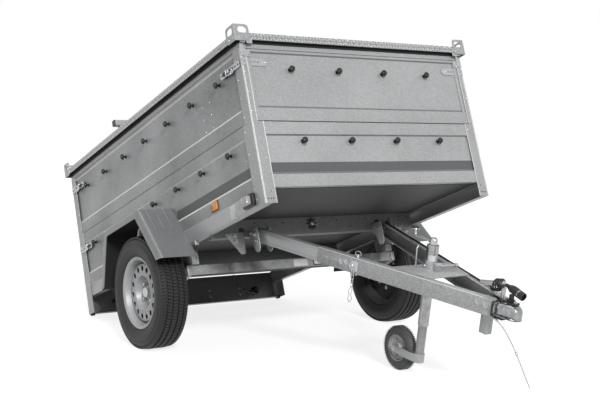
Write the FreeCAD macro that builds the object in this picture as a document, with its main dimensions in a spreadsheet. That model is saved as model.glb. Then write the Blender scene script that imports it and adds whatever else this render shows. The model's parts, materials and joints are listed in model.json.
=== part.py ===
import FreeCAD, Part
import math
import os
import re

import Sketcher

V = FreeCAD.Vector
os.makedirs("parts", exist_ok=True)
doc = FreeCAD.newDocument("dump_trailer")
sheet = doc.addObject("Spreadsheet::Sheet", "Sizes")

# Driving dimensions, in millimetres and degrees.
# The bed frame has its origin at the middle of the front face, level with the underside of the
# side rails: x across, y to the rear, z square to the floor.
# The drawbar frame has its origin on the tipping hinge: y to the rear along the arms, z up.
SIZES = (
    # alias, value, meaning
    ("bed_pitch", 19.1, "floor's slope to the rear, as it stands tipped"),
    ("tip_angle", 28.5, "angle between floor and drawbar, as it stands tipped"),
    ("bed_length", 2020, "front face to rear face"),
    ("bed_width", 1280, "outside of the side walls"),
    ("rail_height", 69, "side rail"),
    ("rail_width", 40, "side rail"),
    ("rail_sheet", 3, "side rail and cross-beam sheet"),
    ("wall_thick", 22, "wall and board thickness"),
    ("wall_dish", 6, "depth of a wall's pressed field"),
    ("low_belt", 127, "fold under the lower pressed field"),
    ("high_belt", 308, "fold over the lower pressed field"),
    ("board_top", 366, "top of the lower walls"),
    ("joint_gap", 3, "strip between lower and upper walls"),
    ("upper_belt", 429, "fold under the upper pressed field"),
    ("wall_top", 700, "top of the upper walls"),
    ("top_flange", 16, "flange along the top of the upper walls"),
    ("corner_column", 29, "side of a corner column"),
    ("post_sheet", 2.5, "corner plates"),
    ("front_leaf", 58, "lower corner plate on the front"),
    ("side_leaf", 77, "lower corner plate on the side"),
    ("upper_leaf", 60, "upper corner plate on the side"),
    ("board_gap", 2, "gap beside a hinged board"),
    ("gate_gap", 8, "gap under the tailgate"),
    ("board_pin", 6, "radius of a board's hinge pins"),
    ("board_pin_up", 20, "hinge pins above a board's lower edge"),
    ("board_pin_long", 16, "hinge pin beyond a board's end"),
    ("lid_pin", 4, "radius of the lid's hinge pins"),
    ("lid_pin_y", -13, "lid's hinge"),
    ("lid_pin_z", 727, "lid's hinge"),
    ("lid_eye", 6, "radius of the lid hinge's eyes"),
    ("lid_arm_in", 27, "inner end of a lid hinge, from the wall's outside"),
    ("lid_arm_wide", 26, "foot of a lid hinge"),
    ("lid_eye_wide", 8, "eye of a lid hinge"),
    ("lid_knuckle_wide", 17, "lid's knuckle beside that eye"),
    ("tail_lamp_in", 120, "middle of a tail lamp, from the wall's outside"),
    ("tail_lamp_wide", 140, "tail lamp"),
    ("tail_lamp_tall", 90, "tail lamp"),
    ("tail_lamp_deep", 38, "tail lamp"),
    ("tail_lamp_z", -70, "tail lamp's lower edge"),
    ("reflector_long", 55, "side reflector"),
    ("reflector_tall", 40, "side reflector"),
    ("reflector_thick", 8, "side reflector"),
    ("reflector_y", 392, "side reflector's front edge"),
    ("reflector_z", 83, "side reflector's lower edge"),
    ("side_lamp_long", 92, "base of a side lamp"),
    ("side_lamp_tall", 56, "base of a side lamp"),
    ("side_lamp_thick", 14, "base of a side lamp"),
    ("side_lamp_y", 68, "its front edge"),
    ("side_lamp_z", 12, "its lower edge"),
    ("side_lens_long", 62, "lens of a side lamp"),
    ("side_lens_tall", 40, "lens of a side lamp"),
    ("side_lens_thick", 22, "lens of a side lamp"),
    ("side_lens_y", 83, "its front edge"),
    ("side_lens_z", 20, "its lower edge"),
    ("floor_thick", 12, "floor panel"),
    ("floor_gap", 11, "floor's end before the tailgate's column line"),
    ("beam_height", 86, "cross-beam"),
    ("beam_flange", 40, "cross-beam flange"),
    ("front_beam_y", 560, "front cross-beam's face"),
    ("rear_beam_y", 1250, "rear cross-beam's face"),
    ("skirt_drop", 95, "rear lamp board below the rails"),
    ("skirt_thick", 4, "rear lamp board"),
    ("foot_radius", 14, "rear foot"),
    ("foot_tall", 8.3, "rear foot below the lamp board"),
    ("lid_over", 23, "lid beyond the walls"),
    ("lid_rim_low", 733, "lower edge of the lid's rim"),
    ("lid_top", 766, "lid's upper face"),
    ("lid_sheet", 3, "lid sheet"),
    ("seal_gap", 1.5, "seal above the walls"),
    ("lug_leaf", 75, "lug leaf"),
    ("lug_low", 726, "lug's lower edge"),
    ("lug_top", 803, "lug's upper edge"),
    ("lug_sheet", 3, "lug"),
    ("lug_slot_long", 45, "eye of a lug"),
    ("lug_slot_high", 33, "eye of a lug"),
    ("bar_side", 32, "square bar on the lid"),
    ("bar_y", 1330, "square bar on the lid"),
    ("bar_half", 650, "half length of the square bar"),
    ("bar_wall", 3, "wall of the square bar"),
    ("bar_seat_in", 58, "middle of a seat, from the lid's edge"),
    ("bar_seat_long", 30, "seat of the square bar"),
    ("seal_over", 3, "lid's seal beyond the walls"),
    ("bar_seat", 34, "seat of the square bar above the lid"),
    ("knob_radius", 14, "tarpaulin knob"),
    ("knob_reach", 30, "tarpaulin knob from its wall"),
    ("stud_radius", 5, "knob's stud"),
    ("upper_knob_z", 610, "upper row of knobs"),
    ("lower_knob_z", 277, "lower row of knobs"),
    ("front_knob_pitch", 260, "front knobs, apart"),
    ("first_knob_y", 221, "first side knob from the face, and the last from the rear"),
    ("wheel_y", 1005, "wheel centre"),
    ("tyre_radius", 273.5, "tyre"),
    ("tyre_width", 155, "tyre"),
    ("tyre_wall", 14, "tyre's tread and sidewalls"),
    ("rim_radius", 165, "rim seat"),
    ("rim_edge", 176, "rim flange"),
    ("rim_width", 128, "between the rim flanges, outside"),
    ("rim_sheet", 4, "rim and disc"),
    ("hub_radius", 30, "hub"),
    ("bolt_circle", 50, "wheel bolts, circle radius"),
    ("bolt_radius", 6, "wheel bolts"),
    ("disc_hole", 10, "round hole of the disc"),
    ("disc_hole_circle", 122, "circle of the disc's holes"),
    ("disc_holes", 15, "holes in the disc"),
    ("fender_wide", 190, "fender beyond the wall"),
    ("tyre_inset", 13.5, "tyre's outer face inside the fender's"),
    ("fender_sheet", 3, "fender"),
    ("fender_lip", 42, "fender's folded lip"),
    ("fender_over", 380.34163, "fender's flat top over the wheel's centre"),
    ("fender_under", 94.34163, "fender's lower edge against the wheel's centre"),
    ("axle_side", 48, "axle tube"),
    ("axle_y", 820, "axle tube"),
    ("axle_z", -113, "axle tube"),
    ("axle_inset", 30, "axle tube's end inside the walls"),
    ("mount_long", 90, "axle mount under the rails"),
    ("arm_thick", 22, "trailing arm"),
    ("stub_radius", 14, "stub axle"),
    ("hinge_y", 505, "tipping hinge"),
    ("hinge_z", -18, "tipping hinge"),
    ("hinge_half", 385, "tipping hinge from the middle"),
    ("hinge_pin", 8, "radius of the hinge pin"),
    ("pin_play", 0.06, "hinge pin in its holes"),
    ("bracket_sheet", 5, "hinge bracket"),
    ("leaf_gap", 14, "bracket leaf from the arm's face at the hinge"),
    ("arm_high", 64, "rear half of a drawbar arm"),
    ("arm_wide", 36, "rear half of a drawbar arm"),
    ("arm_sheet", 3, "drawbar arm"),
    ("arm_drop", 7, "arms' middle below the hinge"),
    ("arm_tail", 22, "rear end of an arm behind the hinge"),
    ("arm_front_y", -1230, "front end of the arms"),
    ("arm_front_half", 45, "outside of the arms at the front"),
    ("arm_joint", 372, "front half starts this far from the hinge"),
    ("arm_overlap", 120, "overlap of the arm halves"),
    ("jockey_y", -795, "jockey tube"),
    ("jockey_outer", 24, "outer tube radius"),
    ("jockey_inner", 20, "inner tube radius"),
    ("jockey_top", 137, "top of the outer tube"),
    ("sleeve_long", 36, "sleeve round the tube's top"),
    ("cap_radius", 18, "cap over the screw"),
    ("cap_tall", 30, "cap over the screw"),
    ("crank_radius", 5, "crank"),
    ("knob_head", 20, "crank's knob"),
    ("jockey_low", -225, "lower end of the outer tube"),
    ("jockey_trail", 130, "wheel behind the tube"),
    ("jockey_leg_long", 330, "inner tube"),
    ("collar_sheet", 4, "collar on the inner tube"),
    ("strap_high", 34, "strap that carries the wheel"),
    ("jockey_axle", 6, "jockey wheel's axle"),
    ("jockey_wheel_r", 100, "jockey tyre"),
    ("jockey_wheel_w", 50, "jockey tyre"),
    ("coupler_y", -1316, "ball centre"),
    ("shank_high", 50, "coupler's shank"),
    ("shank_long", 170, "coupler's shank"),
    ("coupler_r", 25.15, "ball cup"),
    ("coupler_wall", 6, "ball cup"),
    ("coupler_reach", 32, "cup's mouth below the hinge line"),
    ("coupler_deep", 39, "cup's depth"),
    ("coupler_tall", 60, "head with its dome"),
    ("handle_radius", 11, "coupling handle's tube"),
    ("cable_lane", 19, "jockey plate from the arms' webs, beside the cable"),
    ("plate_thick", 5, "jockey plate"),
    ("cable_radius", 4, "black cable"),
    ("coil_radius", 25, "coil of spare cable on the handle"),
    ("coil_turns", 3, "coil of spare cable"),
    ("wire_radius", 2.5, "sheathed breakaway wire"),
    ("plug_radius", 17, "plug"),
    ("plug_long", 90, "plug"),
    ("plug_tilt", 12.5, "plug points down to the front"),
    ("strap_long", 104, "strap plate on the front board"),
    ("strap_low", 616, "strap plate"),
    ("strap_tall", 28, "strap plate"),
    ("strap_sheet", 4, "strap plate"),
)
for row, (alias, value, meaning) in enumerate(SIZES, start=1):
    sheet.set(f"A{row}", meaning)
    sheet.set(f"B{row}", str(value))
    sheet.setAlias(f"B{row}", alias)
doc.recompute()

SIDES = (("left", -1), ("right", 1))
nodes = {}


def size(alias):
    """The number that a cell of the sheet holds."""
    return float(getattr(sheet, alias))


def formula(text):
    """A formula over aliases, written for the sheet. Every alias has an underscore."""
    return re.sub(r"\b([a-z]+(?:_[a-z0-9]+)+)\b", r"Sizes.\1", str(text))


def bind(item, prop, text):
    item.setExpression(prop, formula(text))


def set_base(item, corner):
    for letter, text in zip("xyz", corner):
        bind(item, f"Placement.Base.{letter}", text)


TURN = {
    "X": FreeCAD.Rotation(V(0, 1, 0), 90),
    "Y": FreeCAD.Rotation(V(1, 0, 0), -90),
    "Z": FreeCAD.Rotation(),
}


def block(name, sides, corner):
    """A box with its sides along x, y and z, and its lowest corner."""
    item = doc.addObject("Part::Box", name)
    for prop, text in zip(("Length", "Width", "Height"), sides):
        bind(item, prop, text)
    set_base(item, corner)
    return item


def rod(name, radius, length, start, axis="Z"):
    """A cylinder from its start along an axis."""
    item = doc.addObject("Part::Cylinder", name)
    item.Placement = FreeCAD.Placement(V(), TURN[axis])
    bind(item, "Radius", radius)
    bind(item, "Height", length)
    set_base(item, start)
    return item


def fuse(name, parts):
    item = doc.addObject("Part::MultiFuse", name)
    item.Shapes = parts
    return item


def group(name, parts):
    """Like solids that don't touch."""
    item = doc.addObject("Part::Compound", name)
    item.Links = parts
    return item


def cut(name, base, tool):
    item = doc.addObject("Part::Cut", name)
    item.Base = base
    item.Tool = tool
    return item


def plane_of(body, role):
    return next(one for one in body.Origin.OriginFeatures if one.Role == role)


def sketch_outline(body, role, outline):
    """A closed outline of straight lines, each corner held by two bound distances."""
    sketch = body.newObject("Sketcher::SketchObject", body.Name + "_sketch")
    sketch.AttachmentSupport = (plane_of(body, role), "")
    sketch.MapMode = "FlatFace"
    count = len(outline)
    start = [V(100 * math.cos(2 * math.pi * k / count), 100 * math.sin(2 * math.pi * k / count), 0)
             for k in range(count)]
    for k in range(count):
        sketch.addGeometry(Part.LineSegment(start[k], start[(k + 1) % count]), False)
    for k in range(count):
        sketch.addConstraint(Sketcher.Constraint("Coincident", k, 2, (k + 1) % count, 1))
    for k, corner in enumerate(outline):
        for kind, place, text in zip(("DistanceX", "DistanceY"), (start[k].x, start[k].y), corner):
            index = sketch.addConstraint(Sketcher.Constraint(kind, -1, 1, k, 1, place))
            bind(sketch, f"Constraints[{index}]", text)
    return sketch


def pad(name, role, outline, length, base=("0", "0", "0"), back=False):
    """A body padded from an outline on one of its origin planes."""
    body = doc.addObject("PartDesign::Body", name)
    sketch = sketch_outline(body, role, outline)
    solid = body.newObject("PartDesign::Pad", name + "_pad")
    solid.Profile = sketch
    solid.Reversed = back
    bind(solid, "Length", length)
    body.Tip = solid
    set_base(body, base)
    return body


def turned(name, outline):
    """A body turned about its x axis from an outline of (x, radius) corners."""
    body = doc.addObject("PartDesign::Body", name)
    sketch = sketch_outline(body, "XY_Plane", outline)
    solid = body.newObject("PartDesign::Revolution", name + "_turn")
    solid.Profile = sketch
    solid.ReferenceAxis = (sketch, ["H_Axis"])
    solid.Angle = 360
    body.Tip = solid
    return body


def node(label, item, frame):
    """Gives a sub-part its name and frame. A piece placed by formulas gets a holder that moves it."""
    if any(path.startswith(("Placement", ".Placement")) for path, text in item.ExpressionEngine):
        item = group(label + "_set", [item])
    item.Label = label
    nodes[label] = (item, frame)
    return item


def cord(name, points, radius):
    """A cable along straight runs joined by tangent arcs, as one swept solid."""
    corners = [V(*point) for point in points]
    edges = []
    last = corners[0]
    for before, corner, after in zip(corners, corners[1:], corners[2:]):
        back = (before - corner).normalize()
        ahead = (after - corner).normalize()
        half_turn = (math.pi - back.getAngle(ahead)) / 2
        reach = 0.45 * min((before - corner).Length, (after - corner).Length)
        bend = reach / math.tan(half_turn)
        start = corner + back * reach
        end = corner + ahead * reach
        middle = (back + ahead).normalize()
        centre = corner + middle * (bend / math.cos(half_turn))
        edges.append(Part.makeLine(last, start))
        edges.append(Part.Arc(start, centre - middle * bend, end).toShape())
        last = end
    edges.append(Part.makeLine(last, corners[-1]))
    line = Part.Wire(edges)
    ring = Part.Wire(Part.makeCircle(radius, corners[0], corners[1] - corners[0]))
    tube = line.makePipeShell([ring], True, True)
    wanted = math.pi * radius ** 2 * line.Length
    if abs(tube.Volume - wanted) > 0.01 * wanted:
        raise RuntimeError(f"{name}: the tube's volume is {tube.Volume:.0f} and not {wanted:.0f}")
    print(f"{name}: length {line.Length:.0f} mm")
    item = doc.addObject("Part::Feature", name)
    item.Shape = tube
    return item


HALF = "bed_width / 2"
AXLE_HALF = "(bed_width / 2 - axle_inset)"
TRACK_HALF = "(bed_width / 2 + fender_wide - tyre_inset - tyre_width / 2)"
# The tyres and the rear feet stand on the ground
SOLE_Z = "(-skirt_drop - foot_tall)"
BED_RISE = f"(sin(bed_pitch) * bed_length - cos(bed_pitch) * {SOLE_Z})"
WHEEL_Z = f"((tyre_radius + sin(bed_pitch) * wheel_y - {BED_RISE}) / cos(bed_pitch))"


# Bed: rails, beams and floor
def c_outline(side, outer, depth, low, high, sheet_name):
    """A C profile whose back is at the outer face, as (across, up) corners."""
    return [
        (f"{side} * ({outer})", low),
        (f"{side} * ({outer})", high),
        (f"{side} * ({outer} - {depth})", high),
        (f"{side} * ({outer} - {depth})", f"{high} - {sheet_name}"),
        (f"{side} * ({outer} - {sheet_name})", f"{high} - {sheet_name}"),
        (f"{side} * ({outer} - {sheet_name})", f"{low} + {sheet_name}"),
        (f"{side} * ({outer} - {depth})", f"{low} + {sheet_name}"),
        (f"{side} * ({outer} - {depth})", low),
    ]


rails = [
    pad(f"rail_{word}", "XZ_Plane", c_outline(side, HALF, "rail_width", "0", "rail_height", "rail_sheet"),
        "bed_length - skirt_thick", back=True)
    for word, side in SIDES
]
node("side_rails", group("side_rails", rails), "bed")

BEAM_HALF = "(bed_width / 2 - rail_sheet)"
BEAM_LOW = "(rail_height - beam_height)"


def beam(name, face_y):
    """A cross-beam between the rails, open to the rear, notched round the rails' flanges."""
    outline = [
        (f"{face_y}", BEAM_LOW),
        (f"{face_y}", "rail_height"),
        (f"{face_y} + beam_flange", "rail_height"),
        (f"{face_y} + beam_flange", "rail_height - rail_sheet"),
        (f"{face_y} + rail_sheet", "rail_height - rail_sheet"),
        (f"{face_y} + rail_sheet", f"{BEAM_LOW} + rail_sheet"),
        (f"{face_y} + beam_flange", f"{BEAM_LOW} + rail_sheet"),
        (f"{face_y} + beam_flange", BEAM_LOW),
    ]
    length = "bed_width - 2 * rail_width"
    return pad(name, "YZ_Plane", outline, length, base=("rail_width - bed_width / 2", "0", "0"))


front_beam = beam("front_beam_body", "front_beam_y")
holes = []
for k, (x, z, radius) in enumerate((
    # across, up, radius
    (-441, 14, 15),
    (441, 14, 15),
    (-60, 14, 4),
    (60, 14, 4),
    (0, 28, 6),
)):
    holes.append(rod(f"beam_hole_{k}", radius, "rail_sheet * 3",
                     (x, "front_beam_y - rail_sheet", z), "Y"))
node("cross_beams", group("cross_beams", [
    cut("front_cross_beam", front_beam, fuse("beam_holes", holes)),
    beam("rear_cross_beam", "rear_beam_y"),
]), "bed")
node("floor_panel", block(
    "floor_panel",
    ("bed_width - 2 * wall_thick", "bed_length - 2 * corner_column - floor_gap", "floor_thick"),
    ("wall_thick - bed_width / 2", "corner_column", "rail_height"),
), "bed")


# Bed: walls and boards. A wall's outline is a list of (outward, up) corners with pressed folds.
def lower_outline(low, sign, face):
    inner = f"{sign} * ({face} - wall_thick)"
    outer = f"{sign} * ({face})"
    dished = f"{sign} * ({face} - wall_dish)"
    return [
        (outer, low),
        (outer, "low_belt"),
        (dished, "low_belt + wall_dish"),
        (dished, "high_belt - wall_dish"),
        (outer, "high_belt"),
        (outer, "board_top"),
        (inner, "board_top"),
        (inner, low),
    ]


UPPER_LOW = "(board_top + joint_gap)"


def upper_outline(sign, face):
    inner = f"{sign} * ({face} - wall_thick)"
    outer = f"{sign} * ({face})"
    dished = f"{sign} * ({face} - wall_dish)"
    return [
        (outer, UPPER_LOW),
        (outer, "upper_belt"),
        (dished, "upper_belt + wall_dish"),
        (dished, "wall_top - top_flange - wall_dish"),
        (outer, "wall_top - top_flange"),
        (outer, "wall_top"),
        (inner, "wall_top"),
        (inner, UPPER_LOW),
    ]


lower_walls = []
upper_walls = []
for word, side in SIDES:
    lower_walls.append(pad(f"lower_wall_{word}", "XZ_Plane", lower_outline("rail_height", side, HALF),
                           "bed_length - 2 * corner_column", base=("0", "corner_column", "0"), back=True))
    upper_walls.append(pad(f"upper_wall_{word}", "XZ_Plane", upper_outline(side, HALF),
                           "bed_length - 2 * corner_column", base=("0", "corner_column", "0"), back=True))
node("side_walls_lower", group("side_walls_lower", lower_walls), "bed")
node("side_walls_upper", group("side_walls_upper", upper_walls), "bed")

COLUMN_X = "(bed_width / 2 - corner_column)"
BOARD_HALF = "(bed_width / 2 - corner_column - board_gap)"
fixed_front = pad("front_wall_lower", "YZ_Plane", lower_outline("rail_height", -1, "0"),
                  f"2 * {COLUMN_X}", base=(f"-{COLUMN_X}", "0", "0"))
node("front_wall_lower", fixed_front, "bed")
front_board = pad("front_board_sheet", "YZ_Plane", upper_outline(-1, "0"),
                  f"2 * {BOARD_HALF}", base=(f"-{BOARD_HALF}", "0", "0"))


def board_pins(name, board, low, middle_y):
    """A board with a hinge pin at each end."""
    return fuse(name, [board] + [
        rod(f"{name}_pin_{word}", "board_pin", "board_pin_long",
            (f"{side} * {BOARD_HALF} - (1 - {side}) / 2 * board_pin_long", middle_y,
             f"{low} + board_pin_up"), "X")
        for word, side in SIDES
    ])


FRONT_MIDDLE = "(wall_thick / 2)"
REAR_MIDDLE = "(bed_length - wall_thick / 2)"
GATE_LOW = "(rail_height + gate_gap)"
straps = [
    block(f"strap_{word}", ("strap_long", "strap_sheet", "strap_tall"),
          (f"{side} * {BOARD_HALF} - (1 + {side}) / 2 * strap_long", "wall_dish - strap_sheet",
           "strap_low"))
    for word, side in SIDES
]
node("front_board_upper", fuse("front_board_upper", [
    board_pins("front_board_pinned", front_board, UPPER_LOW, FRONT_MIDDLE)] + straps), "bed")
rear_board = pad("rear_board_sheet", "YZ_Plane", upper_outline(1, "bed_length"),
                 f"2 * {BOARD_HALF}", base=(f"-{BOARD_HALF}", "0", "0"))
node("rear_board_upper", board_pins("rear_board_upper", rear_board, UPPER_LOW, REAR_MIDDLE), "bed")
tailgate = pad("tailgate_sheet", "YZ_Plane", lower_outline(GATE_LOW, 1, "bed_length"),
               f"2 * {BOARD_HALF}", base=(f"-{BOARD_HALF}", "0", "0"))
node("tailgate", board_pins("tailgate", tailgate, GATE_LOW, REAR_MIDDLE), "bed")

strips = [
    block(f"strip_{word}", ("wall_thick - wall_dish", "bed_length - 2 * corner_column", "joint_gap"),
          (f"{side} * (bed_width / 2 - wall_dish) - (1 + {side}) / 2 * (wall_thick - wall_dish)",
           "corner_column", "board_top"))
    for word, side in SIDES
]
node("joint_strips", group("joint_strips", strips), "bed")

# Bed: corner columns with their plates
ENDS = (("front", -1), ("rear", 1))
lower_posts = []
upper_posts = []
for word, side in SIDES:
    for end, along in ENDS:
        name = f"{end}_{word}"
        face = "0" if along < 0 else "bed_length"
        column_x = f"{side} * bed_width / 2 - (1 + {side}) / 2 * corner_column"
        column_y = f"{face} - (1 + {along}) / 2 * corner_column"
        plate_y = f"{face} + (-1 + {along}) / 2 * post_sheet"
        low = "0" if along < 0 else "-skirt_drop"
        side_x = f"{side} * bed_width / 2 + (-1 + {side}) / 2 * post_sheet"

        def leaf_y(width):
            return f"{face} - (1 + {along}) / 2 * ({width}) + ({along}) * post_sheet"

        middle_y = FRONT_MIDDLE if along < 0 else REAR_MIDDLE
        foot = [] if along < 0 else [
            rod(f"foot_{word}", "foot_radius", "foot_tall + 2",
                (f"{side} * (bed_width / 2 - foot_radius)", "bed_length - foot_radius", SOLE_Z)),
            block(f"foot_plate_{word}", ("corner_column", "corner_column", "2"),
                  (column_x, column_y, "-skirt_drop")),
        ]
        bore_x = f"{side} * ({COLUMN_X} + board_pin_long / 2) - board_pin_long / 2 - 2"
        lower_posts.append(fuse(f"lower_post_{name}", [
            cut(f"lower_column_{name}",
                block(f"lower_column_whole_{name}",
                      ("corner_column", "corner_column", "board_top - rail_height"),
                      (column_x, column_y, "rail_height")),
                rod(f"lower_bore_{name}", "board_pin + pin_play", "board_pin_long + 4",
                    (bore_x, middle_y, f"{GATE_LOW} + board_pin_up"), "X"))
            if along > 0 else
            block(f"lower_column_{name}", ("corner_column", "corner_column", "board_top - rail_height"),
                  (column_x, column_y, "rail_height")),
            block(f"lower_side_leaf_{name}", ("post_sheet", "side_leaf", f"board_top - ({low})"),
                  (side_x, leaf_y("side_leaf"), low)),
            block(f"lower_end_leaf_{name}",
                  ("front_leaf" if along < 0 else "corner_column", "post_sheet", f"board_top - ({low})"),
                  (f"{side} * bed_width / 2 - (1 + {side}) / 2 * "
                   + ("front_leaf" if along < 0 else "corner_column"), plate_y, low)),
        ] + foot))
        upper_posts.append(fuse(f"upper_post_{name}", [
            cut(f"upper_column_{name}",
                block(f"upper_column_whole_{name}",
                      ("corner_column", "corner_column", "wall_top - board_top"),
                      (column_x, column_y, "board_top")),
                rod(f"upper_bore_{name}", "board_pin + pin_play", "board_pin_long + 4",
                    (bore_x, middle_y, f"{UPPER_LOW} + board_pin_up"), "X")),
            block(f"upper_side_leaf_{name}", ("post_sheet", "upper_leaf", "wall_top - board_top"),
                  (side_x, leaf_y("upper_leaf"), "board_top")),
            block(f"upper_end_leaf_{name}", ("corner_column", "post_sheet", "wall_top - board_top"),
                  (column_x, plate_y, "board_top")),
        ]))
node("corner_posts_lower", group("corner_posts_lower", lower_posts), "bed")
node("corner_posts_upper", group("corner_posts_upper", upper_posts), "bed")

# Bed: brackets of the lid's hinges, on the front columns
LID_ARM_X = "(bed_width / 2 - lid_arm_in)"
lid_arms = []
for word, side in SIDES:
    inner_x = f"{side} * {LID_ARM_X} - (1 - {side}) / 2 * lid_arm_wide"
    eye_x = f"{side} * {LID_ARM_X} - (1 - {side}) / 2 * lid_eye_wide"
    lid_arms.append(fuse(f"lid_arm_{word}", [
        block(f"lid_arm_foot_{word}", ("lid_arm_wide", "4", "28"),
              (inner_x, "-post_sheet - 4", "wall_top - 36")),
        block(f"lid_arm_plate_{word}", ("lid_arm_wide", "3", "lid_pin_z - wall_top + 36"),
              (inner_x, "-post_sheet - 4", "wall_top - 36")),
        block(f"lid_arm_neck_{word}", ("lid_eye_wide", "-post_sheet - 3 - lid_pin_y", "lid_eye"),
              (eye_x, "lid_pin_y", "lid_pin_z - lid_eye")),
        rod(f"lid_arm_eye_{word}", "lid_eye", "lid_eye_wide", (eye_x, "lid_pin_y", "lid_pin_z"), "X"),
        rod(f"lid_arm_pin_{word}", "lid_pin", "lid_arm_wide", (inner_x, "lid_pin_y", "lid_pin_z"), "X"),
    ]))
node("lid_hinge_arms", group("lid_hinge_arms", lid_arms), "bed")

# Bed: rear lamp board, feet and lamps
node("rear_lamp_board", fuse("rear_lamp_board", [
    block("skirt_face", (f"2 * {COLUMN_X}", "skirt_thick", "rail_height + skirt_drop"),
          (f"-{COLUMN_X}", "bed_length - skirt_thick", "-skirt_drop")),
    block("skirt_lip", (f"2 * {COLUMN_X}", "beam_flange", "skirt_thick"),
          (f"-{COLUMN_X}", "bed_length - beam_flange", "-skirt_drop")),
]), "bed")
lamps = [
    block(f"tail_lamp_{word}", ("tail_lamp_wide", "tail_lamp_deep", "tail_lamp_tall"),
          (f"{side} * (bed_width / 2 - tail_lamp_in) - tail_lamp_wide / 2", "bed_length", "tail_lamp_z"))
    for word, side in SIDES
]
node("tail_lamps", group("tail_lamps", lamps), "bed")
reflectors = [
    block(f"reflector_{word}", ("reflector_thick", "reflector_long", "reflector_tall"),
          (f"{side} * bed_width / 2 + (-1 + {side}) / 2 * reflector_thick", "reflector_y", "reflector_z"))
    for word, side in SIDES
]
node("side_reflectors", group("side_reflectors", reflectors), "bed")
brackets = []
lenses = []
for word, side in SIDES:
    edge = f"{side} * (bed_width / 2 + post_sheet)"
    brackets.append(block(f"lamp_base_{word}", ("side_lamp_thick", "side_lamp_long", "side_lamp_tall"),
                          (f"{edge} + (-1 + {side}) / 2 * side_lamp_thick", "side_lamp_y", "side_lamp_z")))
    lenses.append(block(f"lamp_lens_{word}", ("side_lens_thick", "side_lens_long", "side_lens_tall"),
                        (f"{edge} + {side} * side_lamp_thick + (-1 + {side}) / 2 * side_lens_thick",
                         "side_lens_y", "side_lens_z")))
node("side_lamp_bases", group("side_lamp_bases", brackets), "bed")
node("side_lamp_lenses", group("side_lamp_lenses", lenses), "bed")

# Bed: fenders. The outer outline of the trapezoid and the lip's inner edge share one list.
FENDER_TOP = f"({WHEEL_Z} + fender_over)"
FENDER_LOW = f"({WHEEL_Z} + fender_under)"
FENDER = (
    # y on the outer surface, y of the lip's inner edge, height
    ("wheel_y - 345", "wheel_y - 294", FENDER_LOW),
    ("wheel_y - 160", "wheel_y - 125", FENDER_TOP),
    ("wheel_y + 240", "wheel_y + 205", FENDER_TOP),
    ("wheel_y + 380", "wheel_y + 330", FENDER_LOW),
)
fenders = []
for word, side in SIDES:
    outer = [(y, z) for y, lip, z in FENDER]
    skin = "fender_sheet"
    inner = [
        (f"{FENDER[0][0]} + {skin} * 1.2", f"{FENDER_LOW} - 1"),
        (f"{FENDER[1][0]} + {skin} * 0.6", f"{FENDER_TOP} - {skin}"),
        (f"{FENDER[2][0]} - {skin} * 0.6", f"{FENDER_TOP} - {skin}"),
        (f"{FENDER[3][0]} - {skin} * 1.2", f"{FENDER_LOW} - 1"),
    ]
    lip = [(y, f"{FENDER_TOP} - fender_lip" if z == FENDER_TOP else f"{FENDER_LOW} - 1")
           for outer_y, y, z in FENDER]
    start = f"{side} * (bed_width / 2) - (1 - {side}) / 2 * (fender_wide)"
    whole = pad(f"fender_{word}_solid", "YZ_Plane", outer, "fender_wide", base=(start, "0", "0"))
    core = pad(f"fender_{word}_core", "YZ_Plane", inner, "fender_wide",
               base=(f"{start} - {side} * fender_sheet", "0", "0"))
    mouth = pad(f"fender_{word}_mouth", "YZ_Plane", lip, "fender_wide", base=(start, "0", "0"))
    hollow = fuse(f"fender_{word}_hollow", [core, mouth])
    fenders.append(cut(f"fender_{word}", whole, hollow))
node("fenders", group("fenders", fenders), "bed")

# Bed: axle tube, trailing arms and stub axles
axle_parts = [block("axle_tube", (f"2 * {AXLE_HALF}", "axle_side", "axle_side"),
                    (f"-{AXLE_HALF}", "axle_y - axle_side / 2", "axle_z - axle_side / 2"))]
for word, side in SIDES:
    axle_parts.append(block(f"axle_mount_{word}", ("rail_width", "mount_long", "-axle_z - axle_side / 2"),
                            (f"{side} * {AXLE_HALF} - (1 + {side}) / 2 * rail_width",
                             "axle_y - mount_long / 2", "axle_z + axle_side / 2")))
node("axle_beam", fuse("axle_beam", axle_parts), "bed")
arms = []
STUB = f"({TRACK_HALF} + 15 - {AXLE_HALF} - arm_thick / 2)"
for word, side in SIDES:
    start = f"{side} * {AXLE_HALF} - (1 - {side}) / 2 * arm_thick"
    arms.append(fuse(f"trailing_arm_{word}", [
        pad(f"arm_plate_{word}", "YZ_Plane", [
            ("axle_y - 30", "axle_z - axle_side / 2"),
            ("axle_y - 30", "axle_z + axle_side / 2"),
            ("wheel_y + 24", f"{WHEEL_Z} + 26"),
            ("wheel_y + 24", f"{WHEEL_Z} - 26"),
        ], "arm_thick", base=(start, "0", "0")),
        rod(f"stub_{word}", "stub_radius", STUB,
            (f"{side} * ({AXLE_HALF} + arm_thick / 2) - (1 - {side}) / 2 * {STUB}", "wheel_y", WHEEL_Z), "X"),
    ]))
node("trailing_arms", group("trailing_arms", arms), "bed")

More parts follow.
